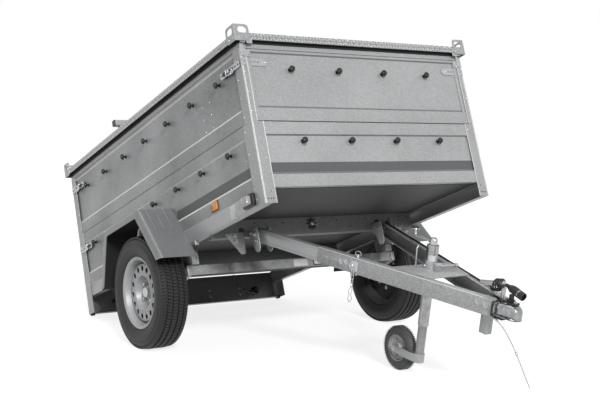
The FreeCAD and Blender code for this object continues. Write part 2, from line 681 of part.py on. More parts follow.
# Bed: hinge brackets hanging from the front cross-beam, two leaves at each arm
leaves = []
for word, side in SIDES:
    for where, x in (
        ("outer", "(hinge_half + leaf_gap)"),
        ("inner", "(hinge_half - arm_wide - leaf_gap - bracket_sheet)"),
    ):
        start = f"{side} * {x} - (1 - {side}) / 2 * bracket_sheet"
        plate = pad(f"leaf_{where}_{word}", "YZ_Plane", [
            ("hinge_y - 28", "hinge_z + 30"),
            ("front_beam_y", "hinge_z + 30"),
            ("front_beam_y", BEAM_LOW),
            ("hinge_y + 10", "hinge_z - 85"),
            ("hinge_y - 20", "hinge_z - 85"),
        ], "bracket_sheet", base=(start, "0", "0"))
        hole = rod(f"leaf_hole_{where}_{word}", "hinge_pin + pin_play", "bracket_sheet * 3",
                   (f"{start} - bracket_sheet", "hinge_y", "hinge_z"), "X")
        leaves.append(cut(f"hinge_leaf_{where}_{word}", plate, hole))
node("hinge_brackets", group("hinge_brackets", leaves), "bed")

# Bed: tarpaulin knobs and clasps
KNOB_PITCH = "((bed_length - 2 * first_knob_y) / 6)"
knobs = []


def knob(name, base, axis, sign):
    """A round knob on a stud that stands off a wall."""
    reach = [f"{base[k]} - (1 - {sign}) / 2 * ({length})" if "XYZ"[k] == axis else base[k]
             for k, length in ((0, "knob_reach"), (1, "knob_reach"), (2, "knob_reach"))]
    head = [f"{base[k]} + {sign} * knob_reach / 2 - (1 - {sign}) / 2 * knob_reach / 2"
            if "XYZ"[k] == axis else base[k] for k in range(3)]
    return fuse(name, [
        rod(name + "_stud", "stud_radius", "knob_reach", reach, axis),
        rod(name + "_head", "knob_radius", "knob_reach / 2", head, axis),
    ])


for word, side in SIDES:
    for k in range(7):
        knobs.append(knob(f"knob_{word}_upper_{k}",
                          (f"{side} * (bed_width / 2 - wall_dish)", f"first_knob_y + {k} * {KNOB_PITCH}",
                           "upper_knob_z"), "X", side))
    for k in (0, 1, 2, 3, 6):
        knobs.append(knob(f"knob_{word}_lower_{k}",
                          (f"{side} * (bed_width / 2 - wall_dish)", f"first_knob_y + {k} * {KNOB_PITCH}",
                           "lower_knob_z"), "X", side))
for k in range(4):
    knobs.append(knob(f"knob_front_lower_{k}",
                      (f"({k} - 1.5) * front_knob_pitch", "wall_dish", "lower_knob_z"), "Y", -1))
node("tarp_knobs", group("tarp_knobs", knobs), "bed")
board_knobs = [
    knob(f"knob_front_upper_{k}", (f"({k} - 1.5) * front_knob_pitch", "wall_dish", "upper_knob_z"), "Y", -1)
    for k in range(4)
]
node("front_board_knobs", group("front_board_knobs", board_knobs), "bed")

clasps = []
for word, side in SIDES:
    for name, y, z in (
        # place, along, up
        ("front", "20", "620"),
        ("rear_upper", "bed_length - 150", "620"),
        ("rear_lower", "bed_length - 150", "262"),
    ):
        clasps.append(block(f"clasp_{name}_{word}", ("14", "130", "24"),
                            (f"{side} * (bed_width / 2 + post_sheet) + (-1 + {side}) / 2 * 14", y, z)))
node("side_clasps", group("side_clasps", clasps), "bed")

# Lid: tray, seal, lugs and bar
OUT_X = "(bed_width / 2 + lid_over)"
OUT_LONG = "(bed_length + 2 * lid_over)"
tray = cut("lid_tray",
           block("lid_outside", (f"2 * {OUT_X}", OUT_LONG, "lid_top - lid_rim_low"),
                 (f"-{OUT_X}", "-lid_over", "lid_rim_low")),
           block("lid_inside", (f"2 * ({OUT_X} - lid_sheet)", f"{OUT_LONG} - 2 * lid_sheet",
                                "lid_top - lid_rim_low"),
                 (f"lid_sheet - {OUT_X}", "lid_sheet - lid_over", "lid_rim_low - lid_sheet")))
lid_parts = [tray]
for word, side in SIDES:
    knuckle_x = f"{side} * ({LID_ARM_X} + lid_eye_wide + 1) - (1 - {side}) / 2 * lid_knuckle_wide"
    knuckle = fuse(f"lid_knuckle_blank_{word}", [
        block(f"lid_knuckle_web_{word}", ("lid_knuckle_wide", "lid_over - lid_sheet + lid_pin_y + 0.5", "20"),
              (knuckle_x, "lid_sheet - lid_over - 0.5", "lid_pin_z")),
        rod(f"lid_knuckle_eye_{word}", "lid_eye", "lid_knuckle_wide",
            (knuckle_x, "lid_pin_y", "lid_pin_z"), "X"),
    ])
    bore = rod(f"lid_knuckle_bore_{word}", "lid_pin + pin_play", "lid_knuckle_wide + 23",
               (f"{knuckle_x} - 10", "lid_pin_y", "lid_pin_z"), "X")
    lid_parts.append(cut(f"lid_knuckle_{word}", knuckle, bore))
node("lid_panel", fuse("lid_panel", lid_parts), "bed")
seal = cut("lid_seal",
           block("seal_outside", ("bed_width + 2 * seal_over", "bed_length + 2 * seal_over",
                                  "lid_top - lid_sheet - wall_top - seal_gap"),
                 ("-bed_width / 2 - seal_over", "-seal_over", "wall_top + seal_gap")),
           block("seal_inside", ("bed_width - 2 * wall_thick", "bed_length - 2 * wall_thick", "lid_top"),
                 ("wall_thick - bed_width / 2", "wall_thick", "wall_top - wall_thick")))
node("lid_seal", seal, "bed")
lugs = []
for word, side in SIDES:
    for end, along in ENDS:
        name = f"{end}_{word}"
        face_y = f"({'-lid_over' if along < 0 else 'bed_length + lid_over'})"
        tall = "lug_top - lug_low"
        side_plate = block(f"lug_side_{name}", ("lug_sheet", "lug_leaf", tall),
                           (f"{side} * {OUT_X} + (-1 + {side}) / 2 * lug_sheet",
                            f"{face_y} - (1 + {along}) / 2 * lug_leaf + {along} * lug_sheet", "lug_low"))
        end_plate = block(f"lug_end_{name}", ("lug_leaf", "lug_sheet", tall),
                          (f"{side} * {OUT_X} - (1 + {side}) / 2 * lug_leaf + {side} * lug_sheet",
                           f"{face_y} + (-1 + {along}) / 2 * lug_sheet", "lug_low"))
        eyes = []
        middle_z = "lug_top - lug_slot_high / 2 - 10"
        for k in (-1, 1):
            eyes.append(rod(f"eye_side_{name}_{k}", "lug_slot_high / 2", "lug_sheet * 6",
                            (f"{side} * {OUT_X} - lug_sheet * 3",
                             f"{face_y} - {along} * lug_leaf / 2 + {k} * (lug_slot_long - lug_slot_high) / 2",
                             middle_z), "X"))
            eyes.append(rod(f"eye_end_{name}_{k}", "lug_slot_high / 2", "lug_sheet * 6",
                            (f"{side} * ({OUT_X} - lug_leaf / 2) + {k} * (lug_slot_long - lug_slot_high) / 2",
                             f"{face_y} - lug_sheet * 3", middle_z), "Y"))
        lugs.append(cut(f"lug_{name}", fuse(f"lug_blank_{name}", [side_plate, end_plate]),
                        fuse(f"eyes_{name}", eyes)))
node("lid_lugs", group("lid_lugs", lugs), "bed")
bar = cut("bar_tube",
          block("bar_outside", ("2 * bar_half", "bar_side", "bar_side"),
                ("-bar_half", "bar_y - bar_side / 2", "lid_top + bar_seat")),
          block("bar_inside", ("2 * bar_half + 2", "bar_side - 2 * bar_wall", "bar_side - 2 * bar_wall"),
                ("-bar_half - 1", "bar_y - bar_side / 2 + bar_wall", "lid_top + bar_seat + bar_wall")))
seats = [
    block(f"bar_seat_{word}", ("bar_seat_long", "bar_side", "bar_seat"),
          (f"{side} * ({OUT_X} - bar_seat_in) - bar_seat_long / 2", "bar_y - bar_side / 2", "lid_top"))
    for word, side in SIDES
]
node("lid_crossbar", fuse("lid_crossbar", [bar] + seats), "bed")

# Wheels, in a frame whose origin is the wheel's centre, x outward on the right side
for word, side in SIDES:
    bead = "(rim_width / 2 - rim_sheet - 0.3)"
    flank = "(rim_edge + tyre_radius) / 2"
    half_tyre = [
        # across, radius, from one bead over the tread's edge
        (bead, "rim_radius + 0.3"),
        (bead, "rim_edge + 1"),
        ("(tyre_width / 2 - 8)", "rim_edge + 12"),
        ("tyre_width / 2", flank),
        ("(tyre_width / 2 - 6)", "tyre_radius - 22"),
        ("(tyre_width / 2 - 20)", "tyre_radius - 5"),
        ("(tyre_width / 2 - 40)", "tyre_radius"),
    ]
    lining = [
        ("(tyre_width / 2 - 26)", "tyre_radius - tyre_wall"),
        ("(tyre_width / 2 - tyre_wall)", flank),
        ("(rim_width / 2 - tyre_wall - 8)", "rim_radius + 0.3"),
    ]
    tyre = turned(f"tyre_{word}",
                  [(f"-{x}", r) for x, r in half_tyre] + half_tyre[::-1]
                  + [(x, r) for x, r in lining[::-1]] + [(f"-{x}", r) for x, r in lining])
    node(f"tyre_{word}", tyre, f"wheel_{word}")
    barrel = turned(f"rim_barrel_{word}", [
        ("-rim_width / 2", "rim_radius - rim_sheet"),
        ("-rim_width / 2", "rim_edge"),
        ("-rim_width / 2 + rim_sheet", "rim_edge"),
        ("-rim_width / 2 + rim_sheet", "rim_radius"),
        ("rim_width / 2 - rim_sheet", "rim_radius"),
        ("rim_width / 2 - rim_sheet", "rim_edge"),
        ("rim_width / 2", "rim_edge"),
        ("rim_width / 2", "rim_radius - rim_sheet"),
    ])
    disc = turned(f"rim_disc_{word}", [
        (f"{side} * 0", "hub_radius"),
        (f"{side} * 0", "74"),
        (f"{side} * 34", "92"),
        (f"{side} * 38", "132"),
        (f"{side} * 26", "rim_radius - rim_sheet / 2"),
        (f"{side} * (26 - rim_sheet)", "rim_radius - rim_sheet / 2"),
        (f"{side} * (38 - rim_sheet)", "131"),
        (f"{side} * (34 - rim_sheet)", "94"),
        (f"{side} * (0 - rim_sheet)", "76"),
        (f"{side} * (0 - rim_sheet)", "hub_radius"),
    ])
    drill = []
    for k in range(int(size("disc_holes"))):
        turn = 360.0 * k / size("disc_holes")
        drill.append(rod(f"disc_hole_{word}_{k}", "disc_hole", "80",
                         ("-40", f"disc_hole_circle * cos({turn}) * 0.93",
                          f"disc_hole_circle * sin({turn}) * 0.93"), "X"))
    for k in range(4):
        turn = 45 + 90 * k
        drill.append(rod(f"bolt_hole_{word}_{k}", "bolt_radius + 0.3", "80",
                         ("-40", f"bolt_circle * cos({turn})", f"bolt_circle * sin({turn})"), "X"))
    wheel = cut(f"rim_{word}", fuse(f"rim_blank_{word}", [barrel, disc]), fuse(f"rim_drill_{word}", drill))
    node(f"rim_{word}", wheel, f"wheel_{word}")
    cup = fuse(f"hub_{word}", [
        turned(f"hub_body_{word}", [
            (f"{side} * -58", "stub_radius + pin_play"),
            (f"{side} * -58", "48"),
            (f"{side} * -4.3", "60"),
            (f"{side} * -4.3", "hub_radius - 0.3"),
            (f"{side} * 26", "hub_radius - 0.3"),
            (f"{side} * 30", "24"),
            (f"{side} * 30", "1"),
            (f"{side} * 20", "1"),
            (f"{side} * 20", "stub_radius + pin_play"),
        ]),
    ] + [
        rod(f"wheel_{piece}_{word}_{k}", radius, length,
            (f"{side} * {start} - (1 - {side}) / 2 * {length}", f"bolt_circle * cos({45 + 90 * k})",
             f"bolt_circle * sin({45 + 90 * k})"), "X")
        for k in range(4)
        for piece, radius, start, length in (
            # name, radius, start along the axle, length
            ("bolt", "bolt_radius", -10, 22),
            ("head", "bolt_radius + 3", 0.3, 13),
        )
    ])
    node(f"hub_{word}", cup, f"wheel_{word}")

# Drawbar arms: C profiles open to the inside, in two overlapping halves
ARM_TURN = "atan((hinge_half - arm_front_half) / (0 - arm_front_y))"
ARM_RUN = "sqrt(arm_front_y ^ 2 + (hinge_half - arm_front_half) ^ 2)"
drawbar_arms = {"rear": [], "front": []}
for word, side in SIDES:
    for half, grow, start, length in (
        # half, larger by, start from the hinge, length
        ("rear", "0", "-arm_tail", "arm_tail + arm_joint + arm_overlap"),
        ("front", "(arm_sheet + 0.3)", "arm_joint", f"{ARM_RUN} - arm_joint"),
    ):
        high = f"(arm_high / 2 + {grow})"
        outline = c_outline(side, grow, f"(arm_wide + {grow})", f"0 - arm_drop - {high}",
                            f"{high} - arm_drop", "arm_sheet")
        arm = pad(f"arm_{half}_{word}", "XZ_Plane", outline, length)
        arm.Placement = FreeCAD.Placement(V(), FreeCAD.Rotation(V(0, 0, -side), 1))
        bind(arm, "Placement.Rotation.Angle", ARM_TURN)
        set_base(arm, (f"{side} * (hinge_half - ({start}) * sin({ARM_TURN}))",
                       f"0 - ({start}) * cos({ARM_TURN})", "0"))
        if half == "rear":
            bore = rod(f"arm_bore_{word}", "hinge_pin", "arm_wide * 3",
                       (f"{side} * hinge_half - arm_wide * 3 / 2", "0", "0"), "X")
            arm = cut(f"arm_rear_{word}_bored", arm, bore)
        drawbar_arms[half].append(arm)
for half, arms_of_half in drawbar_arms.items():
    node(f"drawbar_arms_{half}", group(f"drawbar_arms_{half}", arms_of_half), "drawbar")

pins = [
    rod(f"hinge_pin_{word}", "hinge_pin", "arm_wide + 2 * leaf_gap + 2 * bracket_sheet + 6",
        (f"{side} * (hinge_half - arm_wide / 2) - arm_wide / 2 - leaf_gap - bracket_sheet - 3",
         "0", "0"), "X")
    for word, side in SIDES
]
node("hinge_pins", group("hinge_pins", pins), "drawbar")

WEB_SLOPE = "((hinge_half - arm_front_half) / (0 - arm_front_y))"


def web_half(y):
    """Between an arm's web and the middle, at a place along the drawbar."""
    return f"(arm_front_half + 0.2 + (({y}) - arm_front_y) * {WEB_SLOPE})"


PLATE_FRONT = "(jockey_y - 130)"
PLATE_REAR = "(jockey_y + 60)"
PLATE_Z = "(arm_high / 2 - arm_drop + arm_sheet + 0.3)"
plate = pad("jockey_plate_sheet", "XY_Plane", [
    (f"cable_lane - {web_half(PLATE_FRONT)}", PLATE_FRONT),
    (f"cable_lane - {web_half(PLATE_REAR)}", PLATE_REAR),
    (f"{web_half(PLATE_REAR)} - cable_lane", PLATE_REAR),
    (f"{web_half(PLATE_FRONT)} - cable_lane", PLATE_FRONT),
], "plate_thick", base=("0", "0", PLATE_Z))
node("jockey_plate", cut("jockey_plate", plate,
                         rod("jockey_plate_hole", "jockey_outer", "40", ("0", "jockey_y", "0"))), "drawbar")
node("jockey_tube", cut("jockey_tube",
                        fuse("jockey_tube_blank", [
                            rod("jockey_tube_outside", "jockey_outer", "jockey_top - jockey_low",
                                ("0", "jockey_y", "jockey_low")),
                            rod("jockey_tube_sleeve", "jockey_outer + 3", "sleeve_long",
                                ("0", "jockey_y", "jockey_top - sleeve_long")),
                        ]),
                        rod("jockey_tube_inside", "jockey_inner + 0.4", "jockey_top - jockey_low - 4",
                            ("0", "jockey_y", "jockey_low - 1"))), "drawbar")
crank_y = size("jockey_y")
crank_z = size("jockey_top") + 14
node("jockey_crank", fuse("jockey_crank", [
    rod("crank_cap", "cap_radius", "cap_tall", ("0", "jockey_y", "jockey_top + 0.3")),
    cord("crank_bar", [
        (0, crank_y + 4, crank_z),
        (0, crank_y + 122, crank_z - 2),
        (0, crank_y + 128, crank_z + 34),
    ], size("crank_radius")),
    rod("crank_knob", "knob_head", "14", ("0", "jockey_y + 128", "jockey_top + 40")),
]), "drawbar")
SHANK_REAR = "(coupler_y + shank_long)"
shank = pad("coupler_shank", "XY_Plane", [
    ("-coupler_r - coupler_wall", "coupler_y"),
    (f"-{web_half('arm_front_y')}", "arm_front_y"),
    (f"-{web_half(SHANK_REAR)}", SHANK_REAR),
    (web_half(SHANK_REAR), SHANK_REAR),
    (web_half("arm_front_y"), "arm_front_y"),
    ("coupler_r + coupler_wall", "coupler_y"),
], "shank_high", base=("0", "0", "-arm_drop - shank_high / 2"))
coupler_blank = fuse("coupler_blank", [
    shank,
    rod("coupler_head", "coupler_r + coupler_wall", "coupler_tall", ("0", "coupler_y", "-coupler_reach")),
])
coupler_bore = rod("coupler_bore", "coupler_r", "coupler_deep + 1", ("0", "coupler_y", "-coupler_reach - 1"))
node("coupler", cut("coupler", coupler_blank, coupler_bore), "drawbar")
node("support_leg", block("support_leg", ("34", "40", "135 - arm_drop - shank_high / 2"),
                          ("-17", "-1190", "-135")), "drawbar")

# Drawbar: coupling handle, plug in its holder, and the cables. Points are across, along and up.
HANDLE_TILT = 13.5
HANDLE_REAR = V(0, -1112, 63)
SHANK_TOP = "(shank_high / 2 - arm_drop)"
SHANK_LOW = "(-arm_drop - shank_high / 2)"
DOME_TOP = "(coupler_tall - coupler_reach)"
handle_tube = rod("handle_tube", "handle_radius", "130", (HANDLE_REAR.x, HANDLE_REAR.y, HANDLE_REAR.z))
handle_tube.Placement = FreeCAD.Placement(HANDLE_REAR, FreeCAD.Rotation(V(1, 0, 0), 90 - HANDLE_TILT))
node("coupler_handle", fuse("coupler_handle", [
    handle_tube,
    block("handle_post", ("12", "18", f"84 - {SHANK_TOP}"), ("-6", "-1248", SHANK_TOP)),
]), "drawbar")
PLUG_ROOT = V(0, -1262, 90)
plug = rod("plug_body", "plug_radius", "plug_long", (PLUG_ROOT.x, PLUG_ROOT.y, PLUG_ROOT.z))
plug.Placement = FreeCAD.Placement(PLUG_ROOT, FreeCAD.Rotation(V(1, 0, 0), 90 + size("plug_tilt")))
node("plug", group("plug_in_place", [plug]), "drawbar")
node("holder_and_clamp", group("holder_and_clamp", [
    fuse("plug_holder", [
        block("holder_foot", ("40", "64", "7"), ("-20", "-1322", DOME_TOP)),
        block("holder_post", ("16", "18", "36"), ("-8", "-1296", DOME_TOP)),
    ]),
    block("wire_clamp", ("56", "44", "14"), ("-28", "-1276", f"{SHANK_LOW} - 14")),
]), "drawbar")
COIL_REAR = -1188
COIL_STEP = 1.6
coil_steps = int(8 * size("coil_turns"))
coil = []
for k in range(coil_steps + 1):
    turn = math.radians(200 + 45 * k)
    along = COIL_REAR - COIL_STEP * k
    middle = HANDLE_REAR.z + (HANDLE_REAR.y - along) * math.tan(math.radians(HANDLE_TILT)) - 6
    coil.append((size("coil_radius") * math.cos(turn), along, middle + size("coil_radius") * math.sin(turn)))
rise = size("arm_high") / 2 - size("arm_drop") + size("cable_radius") + 0.2
lift = size("arm_sheet") + 0.5
node("arm_cable", group("arm_cable", [
    cord("cable_to_plug", [
        (366, -10, rise + 3),
        (363, -36, rise),
        (352, -74, rise),
        (289, -300, rise),
        (276, -345, rise + lift),
        (72, -1085, rise + lift),
        (50, -1135, rise + 14),
        (6, -1168, 44),
    ] + coil + [
        (-20, -1236, 80),
        (-14, -1247, 91),
        (0, -1253, 92.2),
        (0, -1261.6, 90.1),
    ], size("cable_radius")),
    cord("cable_to_clamp", [
        (-11, -1244, 25),
        (-42, -1244, 28),
        (-55, -1244, 14),
        (-55, -1244, -24),
        (-42, -1244, -40),
        (-28.5, -1244, -39),
    ], size("cable_radius")),
]), "drawbar")
node("feed_cable", cord("feed_cable", [
    (441, 576, 3.3),
    (441, 546, 3.5),
    (431, 524, 14),
    (410, 507, 22.5),
    (394, 494, 18),
    (390, 482, 10),
], size("cable_radius")), "bed")
node("breakaway_wire", cord("breakaway_wire", [
    (-31, -1234, -44),
    (-31, -1262, -53),
    (-31, -1303, -72),
    (-31, -1346, -109),
    (-31, -1380, -141),
    (-31, -1422, -190),
    (-31, -1450, -222),
    (-31, -1477, -251),
], size("wire_radius")), "drawbar")
CLAMP_Z = f"({PLATE_Z} + plate_thick)"
jaw = cut("jockey_clamp", fuse("jockey_clamp_blank", [
    rod("clamp_ring", "jockey_outer + 6", "36", ("0", "jockey_y", CLAMP_Z)),
    block("clamp_ears", ("22", "58", "36"), ("-11", "jockey_y - 58", CLAMP_Z)),
    rod("clamp_lever", "5", "95", ("0", "jockey_y - 48", f"{CLAMP_Z} + 20"), "X"),
    rod("clamp_knob", "9", "16", ("92", "jockey_y - 48", f"{CLAMP_Z} + 20"), "X"),
]), rod("clamp_bore", "jockey_outer", "60", ("0", "jockey_y", f"{CLAMP_Z} - 10")))
node("jockey_clamp", jaw, "drawbar")

# The jockey wheel stands on the ground
HINGE_RISE = f"({BED_RISE} - sin(bed_pitch) * hinge_y + cos(bed_pitch) * hinge_z)"
JOCKEY_Y = "(jockey_y + jockey_trail)"
JOCKEY_Z = (f"((jockey_wheel_r - {HINGE_RISE} - sin(tip_angle - bed_pitch) * {JOCKEY_Y})"
            " / cos(tip_angle - bed_pitch))")
node("jockey_leg", rod("jockey_leg", "jockey_inner", "jockey_leg_long",
                       ("0", "jockey_y", f"{JOCKEY_Z} - strap_high / 2 - 5")), "drawbar")
strap = pad("fork_strap", "XY_Plane", [
    ("0 - jockey_inner + 2", "jockey_y - 14"),
    ("0 - jockey_inner - 7", "jockey_y - 14"),
    ("0 - jockey_wheel_w / 2 - 11", "jockey_y + 30"),
    ("0 - jockey_wheel_w / 2 - 11", f"{JOCKEY_Y} + 18"),
    ("0 - jockey_wheel_w / 2 - 5", f"{JOCKEY_Y} + 18"),
    ("0 - jockey_wheel_w / 2 - 5", "jockey_y + 30"),
    ("0 - jockey_inner + 2", "jockey_y + 8"),
], "strap_high", base=("0", "0", f"{JOCKEY_Z} - strap_high / 2"))
node("jockey_fork", cut("jockey_fork", fuse("jockey_fork_blank", [
    rod("fork_collar", "jockey_inner + collar_sheet", "strap_high + 6",
        ("0", "jockey_y", f"{JOCKEY_Z} - strap_high / 2 - 3")),
    strap,
    rod("fork_axle", "jockey_axle", "jockey_wheel_w + 8",
        ("0 - jockey_wheel_w / 2 - 6", JOCKEY_Y, JOCKEY_Z), "X"),
]), rod("fork_bore", "jockey_inner + pin_play", "strap_high + 20",
        ("0", "jockey_y", f"{JOCKEY_Z} - strap_high / 2 - 10"))), "drawbar")
jockey_tyre = turned("jockey_tyre", [
    ("-jockey_wheel_w / 2 + 3", "60"),
    ("-jockey_wheel_w / 2", "66"),
    ("-jockey_wheel_w / 2", "86"),
    ("-jockey_wheel_w / 2 + 8", "97"),
    ("-jockey_wheel_w / 2 + 18", "jockey_wheel_r"),
    ("jockey_wheel_w / 2 - 18", "jockey_wheel_r"),
    ("jockey_wheel_w / 2 - 8", "97"),
    ("jockey_wheel_w / 2", "86"),
    ("jockey_wheel_w / 2", "66"),
    ("jockey_wheel_w / 2 - 3", "60"),
])
node("jockey_tyre", jockey_tyre, "jockey_wheel")
jockey_rim = turned("jockey_rim", [
    ("-jockey_wheel_w / 2 + 3", "jockey_axle + pin_play"),
    ("-jockey_wheel_w / 2 + 3", "14"),
    ("-8", "20"),
    ("-8", "46"),
    ("-jockey_wheel_w / 2 + 3", "52"),
    ("-jockey_wheel_w / 2 + 3", "59.7"),
    ("jockey_wheel_w / 2 - 3", "59.7"),
    ("jockey_wheel_w / 2 - 3", "52"),
    ("8", "46"),
    ("8", "20"),
    ("jockey_wheel_w / 2 - 3", "14"),
    ("jockey_wheel_w / 2 - 3", "jockey_axle + pin_play"),
])
node("jockey_rim", jockey_rim, "jockey_wheel")

doc.recompute()

# Frames: where each one stands on the ground
pitch = math.radians(size("bed_pitch"))
bed_rise = (math.sin(pitch) * size("bed_length")
            + math.cos(pitch) * (size("skirt_drop") + size("foot_tall")))


def bed_point(x, y, z):
    """A point of the bed frame, in the ground's frame."""
    return V(x, math.cos(pitch) * y + math.sin(pitch) * z,
             bed_rise - math.sin(pitch) * y + math.cos(pitch) * z)


bed_frame = FreeCAD.Placement(bed_point(0, 0, 0), FreeCAD.Rotation(V(1, 0, 0), -size("bed_pitch")))
drawbar_frame = FreeCAD.Placement(
    bed_point(0, size("hinge_y"), size("hinge_z")),
    FreeCAD.Rotation(V(1, 0, 0), size("tip_angle") - size("bed_pitch")),
)
FRAMES = {"bed": bed_frame, "drawbar": drawbar_frame}
track_half = size("bed_width") / 2 + size("fender_wide") - size("tyre_inset") - size("tyre_width") / 2
for word, side in SIDES:
    wheel_z = (size("tyre_radius") + math.sin(pitch) * size("wheel_y") - bed_rise) / math.cos(pitch)
    FRAMES[f"wheel_{word}"] = bed_frame.multiply(
        FreeCAD.Placement(V(side * track_half, size("wheel_y"), wheel_z), FreeCAD.Rotation()))
slope = math.radians(size("tip_angle") - size("bed_pitch"))
jockey_y = size("jockey_y") + size("jockey_trail")
jockey_z = (size("jockey_wheel_r") - drawbar_frame.Base.z - math.sin(slope) * jockey_y) / math.cos(slope)
FRAMES["jockey_wheel"] = drawbar_frame.multiply(
    FreeCAD.Placement(V(0, jockey_y, jockey_z), FreeCAD.Rotation()))

for item in doc.Objects:
    if any(word in ("Invalid", "Error") for word in item.State):
        raise RuntimeError(f"{item.Name} failed: {item.State}")

CORDS = ("arm_cable", "feed_cable", "breakaway_wire")
placed = {}
for label, (item, frame) in nodes.items():
    shape = item.Shape.copy()
    shape.Placement = FRAMES[frame].multiply(shape.Placement)
    placed[label] = shape
firm = [shape for label, shape in placed.items() if label not in CORDS]
low_y = min(shape.BoundBox.YMin for shape in firm)
high_y = max(shape.BoundBox.YMax for shape in firm)
shift = V(0, -(low_y + high_y) / 2, 0)
print("shift", shift, "low z", min(shape.BoundBox.ZMin for shape in placed.values()))
for label, (item, frame) in nodes.items():
    item.Placement = FreeCAD.Placement(shift, FreeCAD.Rotation()).multiply(
        FRAMES[frame].multiply(item.Placement))
doc.recompute()
for label, (item, frame) in nodes.items():
    shape = item.Shape
    if shape.isNull() or not shape.isValid():
        raise RuntimeError(f"{label} has no valid shape")
    shape.exportStep(f"parts/{label}.step")
print(len(nodes), "nodes")
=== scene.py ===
import json
import logging
import math
from dataclasses import dataclass
from enum import Enum
from typing import Iterable, Optional, Sequence

import bmesh
import bpy
from mathutils import Euler, Matrix, Vector


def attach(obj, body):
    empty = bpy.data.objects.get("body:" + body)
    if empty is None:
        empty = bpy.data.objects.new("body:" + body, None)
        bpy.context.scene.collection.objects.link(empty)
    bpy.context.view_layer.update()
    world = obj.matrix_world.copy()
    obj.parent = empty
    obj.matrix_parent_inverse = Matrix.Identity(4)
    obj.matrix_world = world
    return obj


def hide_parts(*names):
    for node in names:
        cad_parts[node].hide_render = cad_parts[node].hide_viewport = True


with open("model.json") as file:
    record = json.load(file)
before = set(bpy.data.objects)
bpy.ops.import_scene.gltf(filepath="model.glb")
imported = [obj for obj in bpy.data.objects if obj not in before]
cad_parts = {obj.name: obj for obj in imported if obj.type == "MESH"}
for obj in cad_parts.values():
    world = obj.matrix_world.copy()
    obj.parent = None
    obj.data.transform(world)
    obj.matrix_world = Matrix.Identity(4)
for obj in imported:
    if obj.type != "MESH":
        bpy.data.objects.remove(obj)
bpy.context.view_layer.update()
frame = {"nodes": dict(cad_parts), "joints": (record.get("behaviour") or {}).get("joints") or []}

log = logging.getLogger("dump_trailer")

Point2 = tuple[float, float]
Point3 = tuple[float, float, float]
MM = 0.001
SIDES = (("left", -1), ("right", 1))
BOTH = (-1, 1)  # left and right, or front and rear
UP = (0, 0, 1)


def joint_place(name: str) -> Vector:
    """The place of one of the record's joints, in metres."""
    return Vector(next(one for one in frame["joints"] if one["name"] == name)["pos_m"])


@dataclass(frozen=True)
class Sizes:
    """The trailer's own sizes, in metres, in the bed's and the drawbar's frames."""

    bed_pitch: float = math.radians(19.1)
    drawbar_pitch: float = math.radians(9.4)
    hinge_y: float = 0.505
    hinge_z: float = -0.018
    bed_length: float = 2.020
    half_width: float = 0.640
    rail_height: float = 0.069
    wall_thick: float = 0.022
    wall_dish: float = 0.006
    low_belt: float = 0.127
    high_belt: float = 0.308
    board_top: float = 0.366
    joint_gap: float = 0.003
    upper_belt: float = 0.429
    wall_top: float = 0.700
    top_flange: float = 0.012
    column: float = 0.029
    post_sheet: float = 0.0025
    front_leaf: float = 0.058
    side_leaf: float = 0.077
    upper_leaf: float = 0.060
    board_gap: float = 0.002
    gate_gap: float = 0.008
    pin_up: float = 0.020
    skirt_drop: float = 0.095
    lid_over: float = 0.023
    rim_low: float = 0.733
    lid_top: float = 0.766
    lug_leaf: float = 0.075
    lug_low: float = 0.726
    lug_top: float = 0.803
    bar_side: float = 0.032
    bar_y: float = 1.330
    bar_half: float = 0.650
    bar_seat: float = 0.034
    upper_knob_z: float = 0.610
    lower_knob_z: float = 0.277
    front_knob_pitch: float = 0.260
    first_knob_y: float = 0.221
    fender_wide: float = 0.190
    fender_lip: float = 0.043
    wheel_y: float = 1.005
    tyre_radius: float = 0.2735
    tyre_width: float = 0.155
    rim_radius: float = 0.165
    rim_edge: float = 0.176
    rim_width: float = 0.128
    arm_high: float = 0.064
    arm_wide: float = 0.036
    arm_drop: float = 0.007
    hinge_half: float = 0.385
    arm_front_y: float = -1.230
    arm_front_half: float = 0.045
    jockey_y: float = -0.795
    coupler_y: float = -1.316

    @property
    def column_x(self) -> float:
        """Inner face of the corner columns."""
        return self.half_width - self.column

    @property
    def board_half(self) -> float:
        """Half length of a front or rear board."""
        return self.column_x - self.board_gap

    @property
    def upper_low(self) -> float:
        """Lower edge of the upper boards."""
        return self.board_top + self.joint_gap

    @property
    def knob_pitch(self) -> float:
        """Distance between the side knobs."""
        return (self.bed_length - 2 * self.first_knob_y) / 6

    @property
    def arm_turn(self) -> float:
        """Angle of a drawbar arm to the middle."""
        return math.atan((self.hinge_half - self.arm_front_half) / -self.arm_front_y)


SIZE = Sizes()
HINGE = joint_place("tip_hinge")
BED = (Matrix.Translation(HINGE) @ Matrix.Rotation(-SIZE.bed_pitch, 4, "X")
       @ Matrix.Translation((0, -SIZE.hinge_y, -SIZE.hinge_z)))
DRAWBAR = Matrix.Translation(HINGE) @ Matrix.Rotation(SIZE.drawbar_pitch, 4, "X")


def arm_frame(side: int) -> Matrix:
    """A drawbar arm's frame: its hinge end at the origin, its length along -Y, its web on the outer side."""
    return (DRAWBAR @ Matrix.Translation((side * SIZE.hinge_half, 0, 0))
            @ Matrix.Rotation(-side * SIZE.arm_turn, 4, "Z"))


# Finishes

def add_node(tree: bpy.types.NodeTree, kind: str, inputs: Optional[dict] = None,
             **settings: object) -> bpy.types.Node:
    """Adds a node, sets its properties, and links or fills its inputs.

    Args:
        tree: the node tree.
        kind: the node's type.
        inputs: values or sockets by input name.
        settings: properties of the node.

    Returns:
        The node.
    """
    made = tree.nodes.new(kind)
    for name, value in settings.items():
        setattr(made, name, value)
    for name, value in (inputs or {}).items():
        if isinstance(value, bpy.types.NodeSocket):
            tree.links.new(value, made.inputs[name])
        else:
            made.inputs[name].default_value = value
    return made


